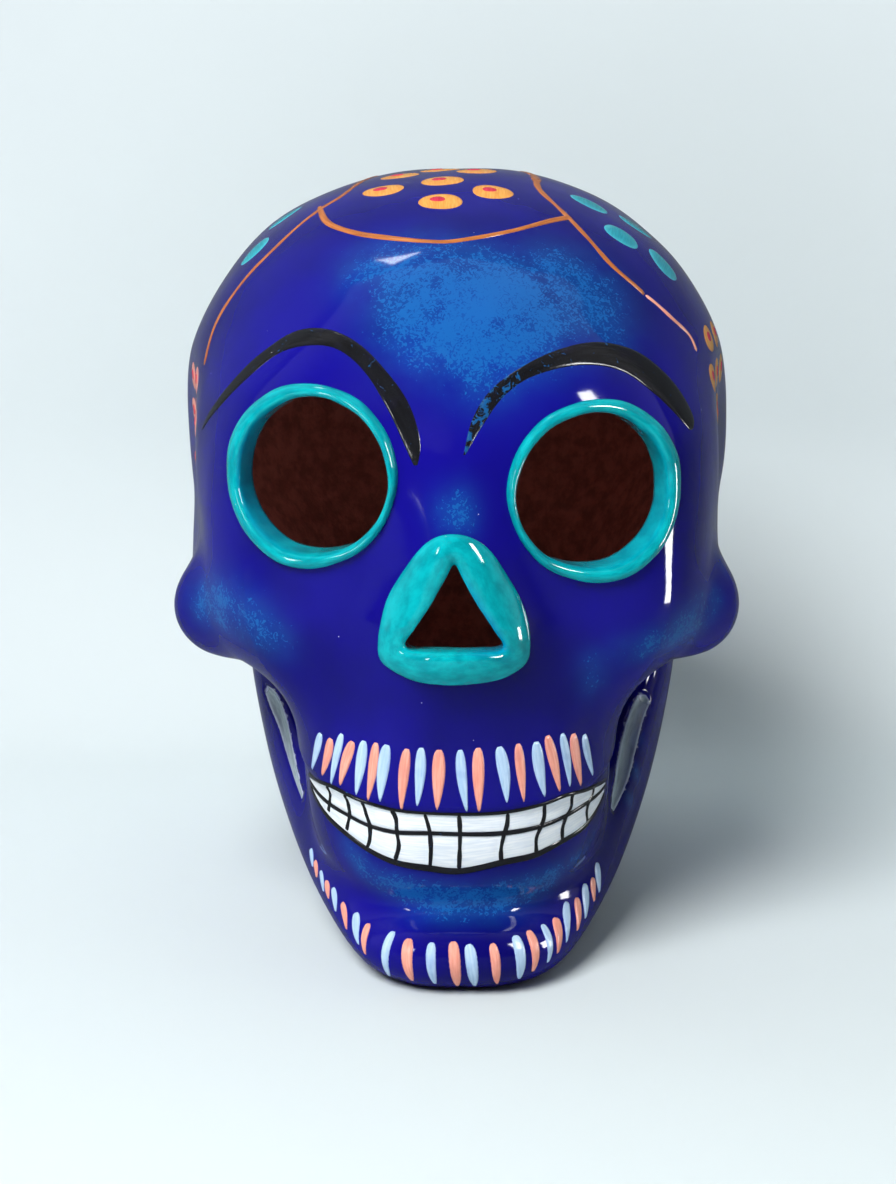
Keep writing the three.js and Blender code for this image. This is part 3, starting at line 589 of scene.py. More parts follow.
def surface_mesh(field, low, high, step):
    """Vertices and quads of the field's surface, one vertex in each cell that it crosses."""
    values = grid_values(field, low, high, step)
    inside = values < 0
    cells = tuple(n - 1 for n in values.shape)
    corner_inside = sum(
        inside[i:i + cells[0], j:j + cells[1], k:k + cells[2]].astype(np.int8) for i, j, k in CORNERS
    )
    crossed = np.argwhere((corner_inside > 0) & (corner_inside < 8))
    number = np.full(cells, -1, np.int32)
    number[tuple(crossed.T)] = np.arange(len(crossed))
    held = np.stack([values[tuple((crossed + c).T)] for c in CORNERS], -1).astype(float)
    total = np.zeros((len(crossed), 3))
    count = np.zeros(len(crossed))
    for a, b in EDGES:
        cuts = (held[:, a] < 0) != (held[:, b] < 0)
        share = held[cuts, a] / (held[cuts, a] - held[cuts, b])
        total[cuts] += CORNERS[a] + share[:, None] * (CORNERS[b] - CORNERS[a])
        count[cuts] += 1
    vertices = low + step * (crossed + total / count[:, None])
    quads = []
    for axis in range(3):
        u, v = np.eye(3, dtype=int)[(axis + 1) % 3], np.eye(3, dtype=int)[(axis + 2) % 3]
        lower = np.take(inside, range(values.shape[axis] - 1), axis)
        upper = np.take(inside, range(1, values.shape[axis]), axis)
        edges = np.argwhere(lower != upper)
        edges = edges[(edges[:, (axis + 1) % 3] > 0) & (edges[:, (axis + 2) % 3] > 0)]
        around = [edges - u - v, edges - v, edges, edges - u]
        around = np.stack([number[tuple(np.minimum(c, np.array(cells) - 1).T)] for c in around], -1)
        facing = lower[tuple(edges.T)]
        around[~facing] = around[~facing][:, ::-1]
        quads.append(around)
    return vertices, np.vstack(quads)


def make_mesh(name, vertices, faces):
    mesh = bpy.data.meshes.new(name)
    mesh.from_pydata((np.asarray(vertices) * METRES).tolist(), [], [list(map(int, f)) for f in faces])
    mesh.validate()
    mesh.update()
    mesh.polygons.foreach_set("use_smooth", np.ones(len(mesh.polygons), bool))
    return mesh


def make_object(name, vertices, faces, material):
    mesh = make_mesh(name, vertices, faces)
    mesh.materials.append(material)
    made = bpy.data.objects.new(name, mesh)
    bpy.context.scene.collection.objects.link(made)
    return made


def make_piece(name, vertices, faces, material):
    piece = make_object(name, vertices, faces, material)
    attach(piece, "root")
    return piece


def set_attribute(mesh, name, values):
    attribute = mesh.attributes.new(name, "FLOAT", "POINT")
    attribute.data.foreach_set("value", np.asarray(values, np.float32))


def linear(red, green, blue):
    """Scene colour of an 8-bit display colour."""
    shares = np.array([red, green, blue]) / 255
    return tuple(np.where(shares <= 0.04045, shares / 12.92, ((shares + 0.055) / 1.055) ** 2.4))


# Materials


class Nodes:
    """Short calls that add nodes to a material or the world and join them."""

    def __init__(self, owner, shader="Principled BSDF"):
        owner.use_nodes = True
        self.owner = owner
        self.tree = owner.node_tree
        self.shader = self.tree.nodes[shader]

    def put(self, socket, value):
        if isinstance(value, bpy.types.NodeSocket):
            self.tree.links.new(value, socket)
        elif isinstance(value, tuple) and socket.type == "RGBA":
            socket.default_value = (*value, 1)
        else:
            socket.default_value = value

    def add(self, kind, inputs=(), output=0, **settings):
        node = self.tree.nodes.new(kind)
        for key, value in settings.items():
            setattr(node, key, value)
        for key, value in dict(inputs).items():
            self.put(node.inputs[key], value)
        return node.outputs[output]

    def place(self):
        return self.add("ShaderNodeTexCoord", output="Object")

    def attribute(self, name):
        return self.add("ShaderNodeAttribute", output="Fac", attribute_name=name)

    def math(self, operation, a, b=0.0):
        return self.add("ShaderNodeMath", {0: a, 1: b}, operation=operation)

    def range(self, value, low, high, start=0.0, end=1.0):
        limits = {"Value": value, "From Min": low, "From Max": high, "To Min": start, "To Max": end}
        return self.add("ShaderNodeMapRange", limits, interpolation_type="SMOOTHSTEP")

    def mix(self, share, a, b):
        node = self.tree.nodes.new("ShaderNodeMix")
        node.data_type = "RGBA"
        self.put(node.inputs[0], share)
        self.put(node.inputs[6], a)
        self.put(node.inputs[7], b)
        return node.outputs[2]

    def noise(self, vector, scale, detail=3.0, roughness=0.5, distortion=0.0):
        inputs = {
            "Vector": vector, "Scale": scale, "Detail": detail,
            "Roughness": roughness, "Distortion": distortion,
        }
        return self.add("ShaderNodeTexNoise", inputs)

    def stretched(self, vector, x, y, z):
        return self.add("ShaderNodeVectorMath", {0: vector, 1: (x, y, z)}, operation="MULTIPLY")

    def specks(self, scale, size):
        """Tiny grains, one in each cell."""
        cells = self.add("ShaderNodeTexVoronoi", {"Vector": self.place(), "Scale": scale}, "Distance")
        return self.range(cells, size * 0.6, size, 1.0, 0.0)

    def bump(self, height, distance, strength=1.0):
        inputs = {"Height": height, "Distance": distance, "Strength": strength}
        self.put(self.shader.inputs["Normal"], self.add("ShaderNodeBump", inputs))

    def surface(self, color, roughness, ior=1.5):
        self.put(self.shader.inputs["Base Color"], color)
        self.put(self.shader.inputs["Roughness"], roughness)
        self.shader.inputs["IOR"].default_value = ior
        return self.owner

    def either(self, share, a, b):
        """A mix of two shaders."""
        return self.add("ShaderNodeMixShader", {0: share, 1: a, 2: b})

    def finish(self, output, shader):
        self.put(self.tree.nodes[output].inputs[0], shader)


DEEP_BLUE = linear(17, 10, 130)
DARK_BLUE = linear(10, 7, 96)
LIGHT_BLUE = linear(24, 96, 168)
# Painted sheen: the violet-grey the glaze turns to at grazing angles, standing in for its reflection of
# the pale surroundings
SHEEN_VIOLET = linear(78, 66, 140)


def glaze_color(nodes, dab):
    """Deep blue with a lighter blue dabbed on by sponge."""
    place = nodes.place()
    cloud = nodes.noise(place, 22, 3)
    ground = nodes.mix(nodes.range(cloud, 0.38, 0.68), DEEP_BLUE, DARK_BLUE)
    grain = nodes.noise(place, 1000, 2.5, 0.6, 1.4)
    patchy = nodes.noise(place, 95, 3, 0.6)
    strength = nodes.math("MULTIPLY", dab, nodes.range(patchy, 0.28, 0.62, 0.62, 1.12))
    reached = nodes.math("ADD", grain, nodes.math("MULTIPLY", strength, 0.46))
    flecks = nodes.range(reached, 0.76, 0.9)
    haze = nodes.math("MULTIPLY", nodes.math("POWER", strength, 1.2), 0.6)
    cover = nodes.math("MAXIMUM", nodes.math("MULTIPLY", flecks, 0.85), haze)
    color = nodes.mix(cover, ground, LIGHT_BLUE)
    return nodes.mix(nodes.math("MULTIPLY", nodes.specks(150, 0.022), 0.8), color, linear(225, 230, 240))


def blue_glaze():
    nodes = Nodes(bpy.data.materials.new("blue_glaze"))
    place = nodes.place()
    color = glaze_color(nodes, nodes.attribute("dab"))
    # Painted sheen: the colour is mixed towards violet-grey where the surface turns away from the view
    edge = nodes.add("ShaderNodeLayerWeight", {"Blend": 0.3}, "Facing")
    color = nodes.mix(nodes.range(edge, 0.5, 1.0, 0.0, 0.4), color, SHEEN_VIOLET)
    slip = nodes.mix(nodes.noise(place, 160, 3), linear(164, 180, 188), linear(124, 138, 146))
    in_slot = nodes.attribute("slip")
    color = nodes.mix(nodes.range(in_slot, 0.05, 0.4), color, linear(176, 182, 206))
    color = nodes.mix(nodes.range(in_slot, 0.5, 0.95), color, slip)
    clay_noise = nodes.noise(place, 240, 6, 0.65)
    bare = nodes.mix(nodes.range(clay_noise, 0.35, 0.65), linear(166, 92, 78), linear(128, 68, 58))
    is_bare = nodes.attribute("bare")
    color = nodes.mix(is_bare, color, bare)
    gloss = nodes.range(nodes.noise(place, 55, 2), 0.3, 0.7, 0.05, 0.1)
    rough = nodes.add("ShaderNodeMix", {0: is_bare, 2: gloss, 3: 0.82})
    swell = nodes.math("MULTIPLY", nodes.noise(place, 42, 2), 0.9)
    pores = nodes.math("MULTIPLY", nodes.noise(place, 900, 3), nodes.math("MULTIPLY", is_bare, 0.5))
    nodes.bump(nodes.math("ADD", swell, pores), 0.0009, 0.5)
    nodes.shader.inputs["Specular IOR Level"].default_value = 0.4
    return nodes.surface(color, rough, 1.5)


def rim_glaze():
    """Teal brushed round the rims; the streaks run along the brush."""
    nodes = Nodes(bpy.data.materials.new("teal_glaze"))
    axes = {"X": "turn_x", "Y": "turn_y", "Z": "across"}
    turned = {axis: nodes.attribute(name) for axis, name in axes.items()}
    along = nodes.add("ShaderNodeCombineXYZ", turned)
    streaks = nodes.noise(nodes.stretched(along, 3.2, 3.2, 5.5), 1.0, 4, 0.6)
    color = nodes.mix(nodes.range(streaks, 0.3, 0.7), linear(0, 138, 148), linear(4, 172, 180))
    color = nodes.mix(nodes.attribute("cyan"), color, linear(0, 120, 190))
    thin = nodes.range(nodes.noise(nodes.stretched(along, 2.2, 2.2, 1.4), 1.0, 2), 0.5, 0.8, 0.0, 0.3)
    color = nodes.mix(thin, color, linear(2, 120, 146))
    color = nodes.mix(nodes.math("MULTIPLY", nodes.specks(170, 0.02), 0.7), color, linear(225, 240, 240))
    nodes.bump(streaks, 0.00004, 0.3)
    return nodes.surface(color, nodes.range(streaks, 0.3, 0.7, 0.04, 0.09), 1.5)


def brushed(name, light, dark, thin_color, roughness=0.16, thin_edge=0.35, dry_color=None):
    """Enamel with the streaks of a brush along each stroke and thin paint at its edges."""
    light, dark, thin_color = (linear(*color) for color in (light, dark, thin_color))
    nodes = Nodes(bpy.data.materials.new(name))
    axes = {"X": "along", "Y": "across", "Z": "shift"}
    spots = {axis: nodes.attribute(name) for axis, name in axes.items()}
    vector = nodes.add("ShaderNodeCombineXYZ", spots)
    streaks = nodes.noise(nodes.stretched(vector, 0.16, 2.2, 9.0), 1.0, 4, 0.6)
    color = nodes.mix(nodes.range(streaks, 0.3, 0.7), light, dark)
    pool = nodes.noise(nodes.stretched(vector, 0.25, 0.25, 9.0), 1.0, 2)
    edge = nodes.math("MULTIPLY", nodes.math("POWER", nodes.attribute("edge"), 5.0), thin_edge)
    thin = nodes.math("ADD", edge, nodes.range(pool, 0.55, 0.75, 0.0, 0.2))
    color = nodes.mix(nodes.math("MINIMUM", thin, 1.0), color, thin_color)
    if dry_color:
        grain = nodes.noise(nodes.place(), 520, 3, 0.65, 0.8)
        dry = nodes.attribute("dry")
        flecks = nodes.range(nodes.math("ADD", grain, nodes.math("MULTIPLY", dry, 0.2)), 0.66, 0.76)
        color = nodes.mix(nodes.math("MULTIPLY", flecks, 0.75), color, linear(*dry_color))
    dust = nodes.math("MULTIPLY", nodes.specks(190, 0.026), 0.75)
    color = nodes.mix(dust, color, linear(215, 215, 222))
    nodes.bump(streaks, 0.00012, 0.3)
    return nodes.surface(color, nodes.range(streaks, 0.3, 0.7, roughness * 0.7, roughness * 1.4), 1.5)


BLUE_MATERIAL = blue_glaze()
RIM_MATERIAL = rim_glaze()
BLACK = brushed("black_enamel", (26, 27, 31), (14, 14, 17), (30, 26, 60), 0.13, 0.2, (22, 90, 150))
WHITE = brushed("white_enamel", (246, 249, 252), (222, 230, 240), (196, 210, 236), 0.12, 0.1)
ORANGE = brushed("orange_enamel", (196, 118, 58), (158, 86, 40), (92, 48, 60), 0.2, 0.5)
YELLOW = brushed("yellow_enamel", (240, 176, 84), (222, 146, 58), (190, 110, 60), 0.18, 0.5)
TEAL = brushed("teal_enamel", (26, 166, 186), (14, 140, 160), (90, 196, 208), 0.16, 0.8)
CORAL = brushed("coral_enamel", (248, 174, 154), (234, 146, 126), (168, 92, 112), 0.18, 0.6)
PALE_BLUE = brushed("pale_blue_enamel", (192, 216, 240), (164, 196, 228), (92, 116, 194), 0.18, 0.6)
SLIP = brushed("grey_slip", (168, 184, 192), (134, 148, 156), (184, 190, 212), 0.08, 1.0)
RED = brushed("red_enamel", (212, 52, 78), (186, 36, 66), (220, 96, 70), 0.18, 0.4)


# The clay


# Places where the sponge dabbed: pixel of the photograph, radius in pixels, strength.
FRONT_DABS = [
    (440, 285, 58, 0.9), (478, 318, 62, 0.95), (520, 300, 55, 0.75), (565, 280, 55, 0.6),
    (400, 262, 42, 0.6), (360, 268, 34, 0.4), (488, 372, 36, 0.5), (420, 330, 44, 0.6),
    (600, 300, 48, 0.42), (545, 335, 40, 0.4), (612, 340, 30, 0.3), (455, 522, 20, 0.75),
    (455, 500, 22, 0.4), (222, 608, 36, 0.85), (252, 626, 30, 0.75), (200, 600, 26, 0.7),
    (280, 642, 20, 0.4), (698, 618, 28, 0.9), (676, 634, 25, 0.85), (650, 646, 20, 0.65),
    (714, 604, 20, 0.6), (620, 652, 20, 0.35), (596, 682, 20, 0.42), (590, 660, 18, 0.25),
    (346, 846, 17, 0.45), (362, 866, 19, 0.65), (385, 882, 20, 0.8), (410, 892, 21, 0.9),
    (440, 899, 21, 0.9), (470, 900, 21, 0.9), (500, 897, 21, 0.9), (528, 889, 21, 0.85),
    (552, 878, 20, 0.8), (576, 860, 18, 0.65), (592, 840, 16, 0.5), (718, 500, 18, 0.4),
    (720, 560, 18, 0.4), (636, 772, 12, 0.55), (630, 800, 12, 0.5), (640, 740, 12, 0.4),
]
# Places behind, where the photograph doesn't reach: direction from the middle, radius, strength.
BACK_DABS = [
    ((0, 1, 0.45), 26, 0.85), ((0.35, 1, 0.2), 18, 0.6), ((-0.35, 1, 0.3), 18, 0.6),
    ((0, 1, -0.35), 20, 0.5), ((1, 0.35, 0.1), 18, 0.6), ((-1, 0.35, 0.1), 18, 0.6),
    ((0.8, 0.7, -0.5), 16, 0.5), ((-0.8, 0.7, -0.5), 16, 0.5), ((0.55, 0.8, 0.8), 15, 0.4),
    ((-0.55, 0.8, 0.8), 15, 0.4),
]
PIXELS_PER_MM = 4.45


def dab_field(p):
    """How much light blue lies at points, from 0 to 1."""
    spots = np.array(FRONT_DABS)
    centres = on_photo(spots[:, :2])
    radii = spots[:, 2] / PIXELS_PER_MM
    strengths = spots[:, 3]
    behind = from_middle([aim for aim, _, _ in BACK_DABS])
    centres = np.vstack([centres, behind])
    radii = np.append(radii, [radius for _, radius, _ in BACK_DABS])
    strengths = np.append(strengths, [strength for _, _, strength in BACK_DABS])
    left = np.ones(len(p))
    for centre, radius, strength in zip(centres, radii, strengths):
        away = ((p - centre) ** 2).sum(-1) / radius**2
        left *= 1 - strength * np.exp(-away)
    return 1 - left


# Depth into the wall over which the glaze ends, and rise over which it ends at the foot
BARE_DEPTHS = (2.0, 3.4)
FOOT_GLAZE = (0.15, 0.6)


def clay_pieces():
    """The fired clay, glazed outside and bare within, as its three pressed parts."""
    places, quads = surface_mesh(body, LOW, HIGH, GRID_STEP)
    places = settle(places, body, 3)
    normals = normals_at(places, body)
    depth = -clay(places)
    slip = smoothstep(slots(places), 0.3, 0.1) * smoothstep(depth, 0.6, 1.0)
    foot = 1 - smoothstep(places[:, 2], *FOOT_GLAZE)
    bare = np.maximum(smoothstep(depth, *BARE_DEPTHS) * (1 - slip), foot)
    dab = dab_field(places) * (1 - slip)
    centres = places[quads].mean(1)
    skull = skull_form(centres)
    bar_here = jaw_bar(centres)
    below_bite = centres[:, 2] < bite_rise(centres[:, 1])
    in_jaw = (centres[:, 1] < -JAW_REAR_FORWARD) & below_bite | (bar_here < skull) & (skull > -1)
    behind = ~in_jaw & (centres[:, 1] > SEAM_BACK)
    parts = {
        "face_shell": ("face_glazed", ~in_jaw & ~behind),
        "cranium_back_shell": ("cranium_back_glazed", behind),
        "lower_jaw": ("lower_jaw_glazed", in_jaw),
    }
    for node, (name, chosen) in parts.items():
        used, index = np.unique(quads[chosen], return_inverse=True)
        piece = make_piece(name, places[used], index.reshape(-1, 4), BLUE_MATERIAL)
        for label, values in (("dab", dab), ("bare", bare), ("slip", slip)):
            set_attribute(piece.data, label, values[used])
        piece.data.normals_split_custom_set_from_vertices(normals[used].tolist())
        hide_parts(node)


# Rims


# Waves round a rim as pressed by hand: size in millimetres and number
RIM_WAVES = [(0.16, 3), (0.08, 7), (0.03, 13)]
RIM_STEPS = 37
RIM_OUTSIDE = 40


def rim_piece(name):
    """A clay rim that follows the face round its opening, a little uneven as pressed by hand."""
    (middle, across, upward, outwards), outer_line, inner_line = OPENINGS[name]
    turn = np.arange(RIM_POINTS) / RIM_POINTS * 2 * math.pi
    phase = len(name)
    waves = [size * np.sin(n * turn + (i + 1) * phase) for i, (size, n) in enumerate(RIM_WAVES)]
    wobble = sum(waves)[:, None]
    outer_line = outer_line * (1 + wobble / 18)
    inner_line = inner_line * (1 + wobble[::-1] / 18)
    section = smooth_curve(RIM_SECTION_SHARES, RIM_STEPS)
    section[:, 0] = np.clip(section[:, 0], 0, 1.02)
    rings = []
    for share, up in section:
        flat = outer_line + (inner_line - outer_line) * share
        start = middle + flat[:, :1] * across + flat[:, 1:] * upward
        rays = np.broadcast_to(-outwards, start.shape)
        surface = cast(start + RIM_OUTSIDE * outwards, rays, skull_form, RIM_OUTSIDE)
        height = (surface - start) @ outwards
        rise = height + np.where(up > 0, up * RIM_PROUD * (1 + 0.5 * wobble[:, 0]), up * RIM_DEPTH)
        rings.append(start + rise[:, None] * outwards)
    rings = np.array(rings)
    count = len(section)
    index = np.arange(count * RIM_POINTS).reshape(count, RIM_POINTS)
    below = np.roll(index, -1, axis=0)
    quads = np.stack([index, np.roll(index, -1, 1), np.roll(below, -1, 1), below], -1).reshape(-1, 4)
    piece = make_piece(name + "_glazed", rings.reshape(-1, 3), quads, RIM_MATERIAL)
    mesh = piece.data
    along = np.broadcast_to(np.linspace(0, 1, count)[:, None], (count, RIM_POINTS))
    set_attribute(mesh, "turn_x", np.broadcast_to(np.cos(turn) + phase, (count, RIM_POINTS)).ravel())
    set_attribute(mesh, "turn_y", np.broadcast_to(np.sin(turn), (count, RIM_POINTS)).ravel())
    set_attribute(mesh, "across", along.ravel())
    inner_wall = smoothstep(along, 0.62, 0.8)
    bluer = {"right_eye_rim": -np.cos(turn), "left_eye_rim": 0.3, "nose_rim": np.sin(turn)}[name]
    set_attribute(mesh, "cyan", (inner_wall * np.clip(bluer, 0, 1) * 0.45).ravel())
    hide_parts(name)


# Paint that stands a little proud of the clay


def sample(points, count):
    """Even steps along a smooth curve through points."""
    fine = smooth_curve(points, 40 * len(points))
    run = np.append(0, np.cumsum(np.linalg.norm(np.diff(fine, axis=0), axis=1)))
    even = np.linspace(0, run[-1], count)
    return np.stack([np.interp(even, run, fine[:, i]) for i in range(fine.shape[1])], -1)


def stroke_values(length, across, edge, start):
    """What the brushed materials read over a stroke; start tells one stroke from another."""
    return {
        "along": length[:, None], "across": across, "edge": edge, "shift": start % SHIFT_SPAN, "dry": 0.0,
    }


def sheet(points, height, edge):
    """A sheet of paint: places on the clay in rows, its height over them, values for its shader."""
    settled = settle(points.reshape(-1, 3), clay, 3)
    steps = np.diff(points, axis=0, append=points[-1:])
    length = np.cumsum(np.linalg.norm(steps, axis=-1).mean(1))
    sides = np.linalg.norm(points[:, -1] - points[:, 0], axis=-1)
    across = np.linspace(-1, 1, height.shape[1]) * sides[:, None] / 2
    return settled, normals_at(settled), height, stroke_values(length, across, edge, points[0, 0, 0])


# How far paint stands out of the clay, reaches into it, and lies under it at its edges
PAINT = 0.16
SUNK = 0.35
TUCK = 0.05
SHIFT_SPAN = 7.3


def paint_piece(name, sheets, material, node=None):
    """One closed thin body for each sheet of paint, joined in one mesh."""
    vertices, faces, labels, normals_out, offset = [], [], {}, [], 0
    for places, normals, height, values in sheets:
        rows, columns = height.shape
        count = rows * columns
        vertices += [places + normals * height.reshape(-1, 1), places - normals * SUNK]
        index = offset + np.arange(count).reshape(rows, columns)
        top = [index[:-1, :-1], index[:-1, 1:], index[1:, 1:], index[1:, :-1]]
        top = np.stack(top, -1).reshape(-1, 4)
        corner = places[[0, 1, columns]]
        facing = np.cross(corner[1] - corner[0], corner[2] - corner[0]) @ normals[0]
        if facing < 0:
            top = top[:, ::-1]
        under = top[:, ::-1] + count
        loop = np.concatenate([index[0, :-1], index[:-1, -1], index[-1, :0:-1], index[:0:-1, 0]])
        side = np.stack([loop, loop + count, np.roll(loop, -1) + count, np.roll(loop, -1)], -1)
        if facing < 0:
            side = side[:, ::-1]
        faces += [top, under, side]
        for key, value in values.items():
            labels.setdefault(key, []).append(np.tile(np.broadcast_to(value, height.shape).ravel(), 2))
        offset += 2 * count
    piece = make_piece(name, np.vstack(vertices), np.vstack(faces), material)
    for key, value in labels.items():
        set_attribute(piece.data, key, np.concatenate(value))
    if node:
        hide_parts(node)


def profile(u, power=4, top=PAINT):
    """Height across a stroke: full in the middle, just under the clay at its edges."""
    return (top + TUCK) * (1 - np.abs(u) ** power) - TUCK


def ribbon(centres, half_widths, columns=7, top=PAINT):
    """A stroke along places on the clay, with its half width at each place."""
    centres = settle(centres, clay, 3)
    normals = normals_at(centres)
    tangent = unit(np.gradient(centres, axis=0))
    across = unit(np.cross(normals, tangent))
    u = np.linspace(-1, 1, columns)
    points = centres[:, None] + across[:, None] * (u[None, :, None] * half_widths[:, None, None])
    height = np.broadcast_to(profile(u, 6, top), points.shape[:2]).copy()
    height[[0, -1]] = -TUCK
    return sheet(points, height, np.abs(u))


def between(upper, lower, rows, columns, top=PAINT):
    """Paint between two edges, each given by pixels of the photograph."""
    edges = [sample(on_photo(np.array(edge, float)), columns) for edge in (upper, lower)]
    share = np.linspace(0, 1, rows)[:, None, None]
    points = edges[0] * (1 - share) + edges[1] * share
    v = np.linspace(-1, 1, rows)[:, None]
    u = np.linspace(-1, 1, columns)[None]
    height = profile(v, 6, top) + 0 * u
    height[:, [0, -1]] = -TUCK
    points = np.swapaxes(points, 0, 1)
    height = height.T
    return sheet(points, height, np.abs(v).T)


def disc(centre, across, upward, radii, seed=0.0, top=PAINT, size=13):
    """A round dab about a place, with its radii along two directions."""
    u, v = np.meshgrid(np.linspace(-1, 1, size), np.linspace(-1, 1, size))
    x, y = u * np.sqrt(1 - v * v / 2), v * np.sqrt(1 - u * u / 2)
    turn = np.arctan2(y, x)
    uneven = 1 + 0.035 * np.sin(2 * turn + seed) + 0.03 * np.sin(3 * turn + 2 * seed)
    flat_x, flat_y = x * uneven * radii[0], y * uneven * radii[1]
    points = centre + flat_x[..., None] * across + flat_y[..., None] * upward
    reach = np.hypot(x, y)
    return sheet(points, profile(reach, 5, top), reach)


def slot_slip():
    """Grey glaze that has run into the slots of the jaw bar, lighter at its edges."""
    sheets = []
    u = np.linspace(-1, 1, 15)
    turn = (SLOT_SLIP_TURN * u)[None, :, None]
    for places, radii in GROOVES:
        rows = sample(np.column_stack([places, radii]), 60)
        middle, radius = rows[:, :3], rows[:, 3]
        tangent = unit(np.gradient(middle, axis=0))
        outward = normals_at(middle)
        side = unit(np.cross(outward, tangent))
        around = np.sin(turn) * side[:, None] - np.cos(turn) * outward[:, None]
        points = middle[:, None] + radius[:, None, None] * around
        settled = settle(points.reshape(-1, 3), body, 3)
        height = np.broadcast_to(profile(u, 6, SLOT_SLIP), points.shape[:2]).copy()
        height[[0, -1]] = -TUCK
        run = np.append(0, np.cumsum(np.linalg.norm(np.diff(middle, axis=0), axis=1)))
        values = stroke_values(run, u, np.abs(u), places[0, 0])
        sheets.append((settled, normals_at(settled, body), height, values))
    paint_piece("jaw_slot_slip", sheets, SLIP)


# Pixels of the photograph
RIGHT_BROW = (
    [(201, 430), (226, 388), (259, 354), (294, 331), (326, 328), (359, 343), (388, 372), (410, 404),
     (421, 441), (418, 467)],
    [(202, 431), (220, 407), (243, 383), (279, 354), (315, 346), (341, 352), (366, 375), (388, 412),
     (403, 444), (414, 467)],
)
LEFT_BROW = (
    [(463, 456), (472, 419), (490, 390), (519, 368), (555, 350), (595, 341), (632, 348), (657, 364),
     (679, 388), (694, 417), (693, 430)],
    [(465, 456), (483, 426), (504, 397), (533, 377), (581, 366), (621, 372), (653, 394), (679, 419),
     (690, 431)],
)
MOUTH_UPPER = [
    (309, 774), (329, 785), (363, 801), (391, 809), (428, 813), (460, 814), (505, 812), (546, 803),
    (574, 793), (606, 779),
]
MOUTH_MIDDLE = [
    (310, 779), (329, 803), (348, 815), (368, 825), (395, 832), (428, 833), (460, 834), (504, 833),
    (541, 826), (567, 815), (586, 803), (605, 784),
]
MOUTH_LOWER = [
    (311, 784), (325, 812), (345, 832), (368, 849), (395, 862), (428, 868), (460, 871), (503, 862),
    (534, 855), (560, 842), (586, 824), (604, 792),
]
TOOTH_LINES = [
    [(327, 785), (331, 794), (330, 804), (329, 812)],
    [(344, 793), (349, 805), (350, 815), (347, 831)],
    [(361, 800), (366, 812), (370, 825), (370, 840), (366, 850)],
    [(390, 809), (396, 818), (397, 832), (399, 846), (395, 861)],
    [(424, 813), (428, 824), (430, 834), (431, 850), (430, 868)],
    [(459, 814), (460, 834), (459, 870)],
    [(508, 812), (507, 824), (504, 834), (501, 848), (501, 862)],
    [(545, 803), (544, 815), (541, 826), (536, 838), (536, 854)],
    [(573, 793), (571, 805), (566, 816), (562, 828), (562, 841)],
    [(594, 784), (592, 794), (588, 803), (586, 812), (587, 823)],
]
# Strokes: top, foot and half width.
LIP_STROKES = [
    ((321, 733), (312, 770)), ((331, 738), (322, 776)), ((342, 733), (331, 785)), ((353, 741), (340, 786)),
    ((364, 740), (356, 795)), ((376, 742), (368, 801)), ((387, 744), (380, 802)), ((407, 748), (402, 810)),
    ((421, 747), (417, 807)), ((439, 749), (437, 810)), ((460, 749), (467, 812)), ((478, 747), (479, 812)),
    ((499, 746), (507, 803)), ((518, 743), (524, 802)), ((536, 741), (545, 797)), ((547, 735), (560, 792)),
    ((562, 733), (570, 787)), ((573, 733), (581, 786)), ((584, 734), (593, 776)),
]
CHIN_STROKES = [
    ((311, 848), (313, 867)), ((315, 860), (317, 878)), ((321, 870), (324, 892)), ((327, 880), (329, 899)),
    ((333, 887), (336, 912)), ((342, 902), (347, 930)), ((356, 912), (359, 945)), ((369, 923), (366, 955)),
    ((394, 931), (390, 976)), ((409, 938), (413, 981)), ((432, 942), (436, 984)), ((453, 941), (458, 986)),
    ((468, 944), (475, 986)), ((492, 943), (497, 984)), ((515, 935), (519, 979)), ((528, 930), (532, 972)),
    ((542, 924), (547, 963)), ((556, 917), (557, 954)), ((567, 901), (566, 943)), ((577, 897), (577, 931)),
    ((585, 883), (585, 919)), ((593, 877), (594, 902)), ((597, 862), (599, 893)),
]
CROWN_ARC = [
    (319, 206), (326, 221), (345, 230), (374, 236), (424, 241), (461, 240), (515, 230), (572, 217),
]
CROWN_LEFT = [
    (374, 176), (347, 192), (319, 210), (279, 244), (252, 271), (235, 292), (214, 328), (204, 366),
]
CROWN_RIGHT = [(535, 177), (540, 190), (566, 215), (606, 259), (645, 295)]
CROWN_CORAL = [(645, 295), (652, 300), (672, 318), (690, 336), (697, 352)]


def brows():
    for node, (upper, lower) in (("right_eyebrow", RIGHT_BROW), ("left_eyebrow", LEFT_BROW)):
        stroke = between(upper, lower, 9, 60)
        share = np.linspace(0, 1, 60)[:, None]
        stroke[3]["dry"] = np.clip(1.15 - 1.9 * share, 0, 1) if node == "left_eyebrow" else 0.1
        paint_piece(node + "_painted", [stroke], BLACK, node)


def line(pixels, half_mm, steps=28, columns=5, top=PAINT, ends=1.0):
    centres = sample(on_photo(np.array(pixels, float)), steps)
    share = np.linspace(0, 1, steps)
    uneven = 1 + 0.12 * np.sin(9 * share + pixels[0][0]) + 0.08 * np.sin(23 * share + pixels[0][1])
    round_end = np.clip(np.sqrt(np.minimum(share, 1 - share) * 24 / ends) + 0.15, 0, 1)
    return ribbon(centres, half_mm * uneven * round_end, columns, top)


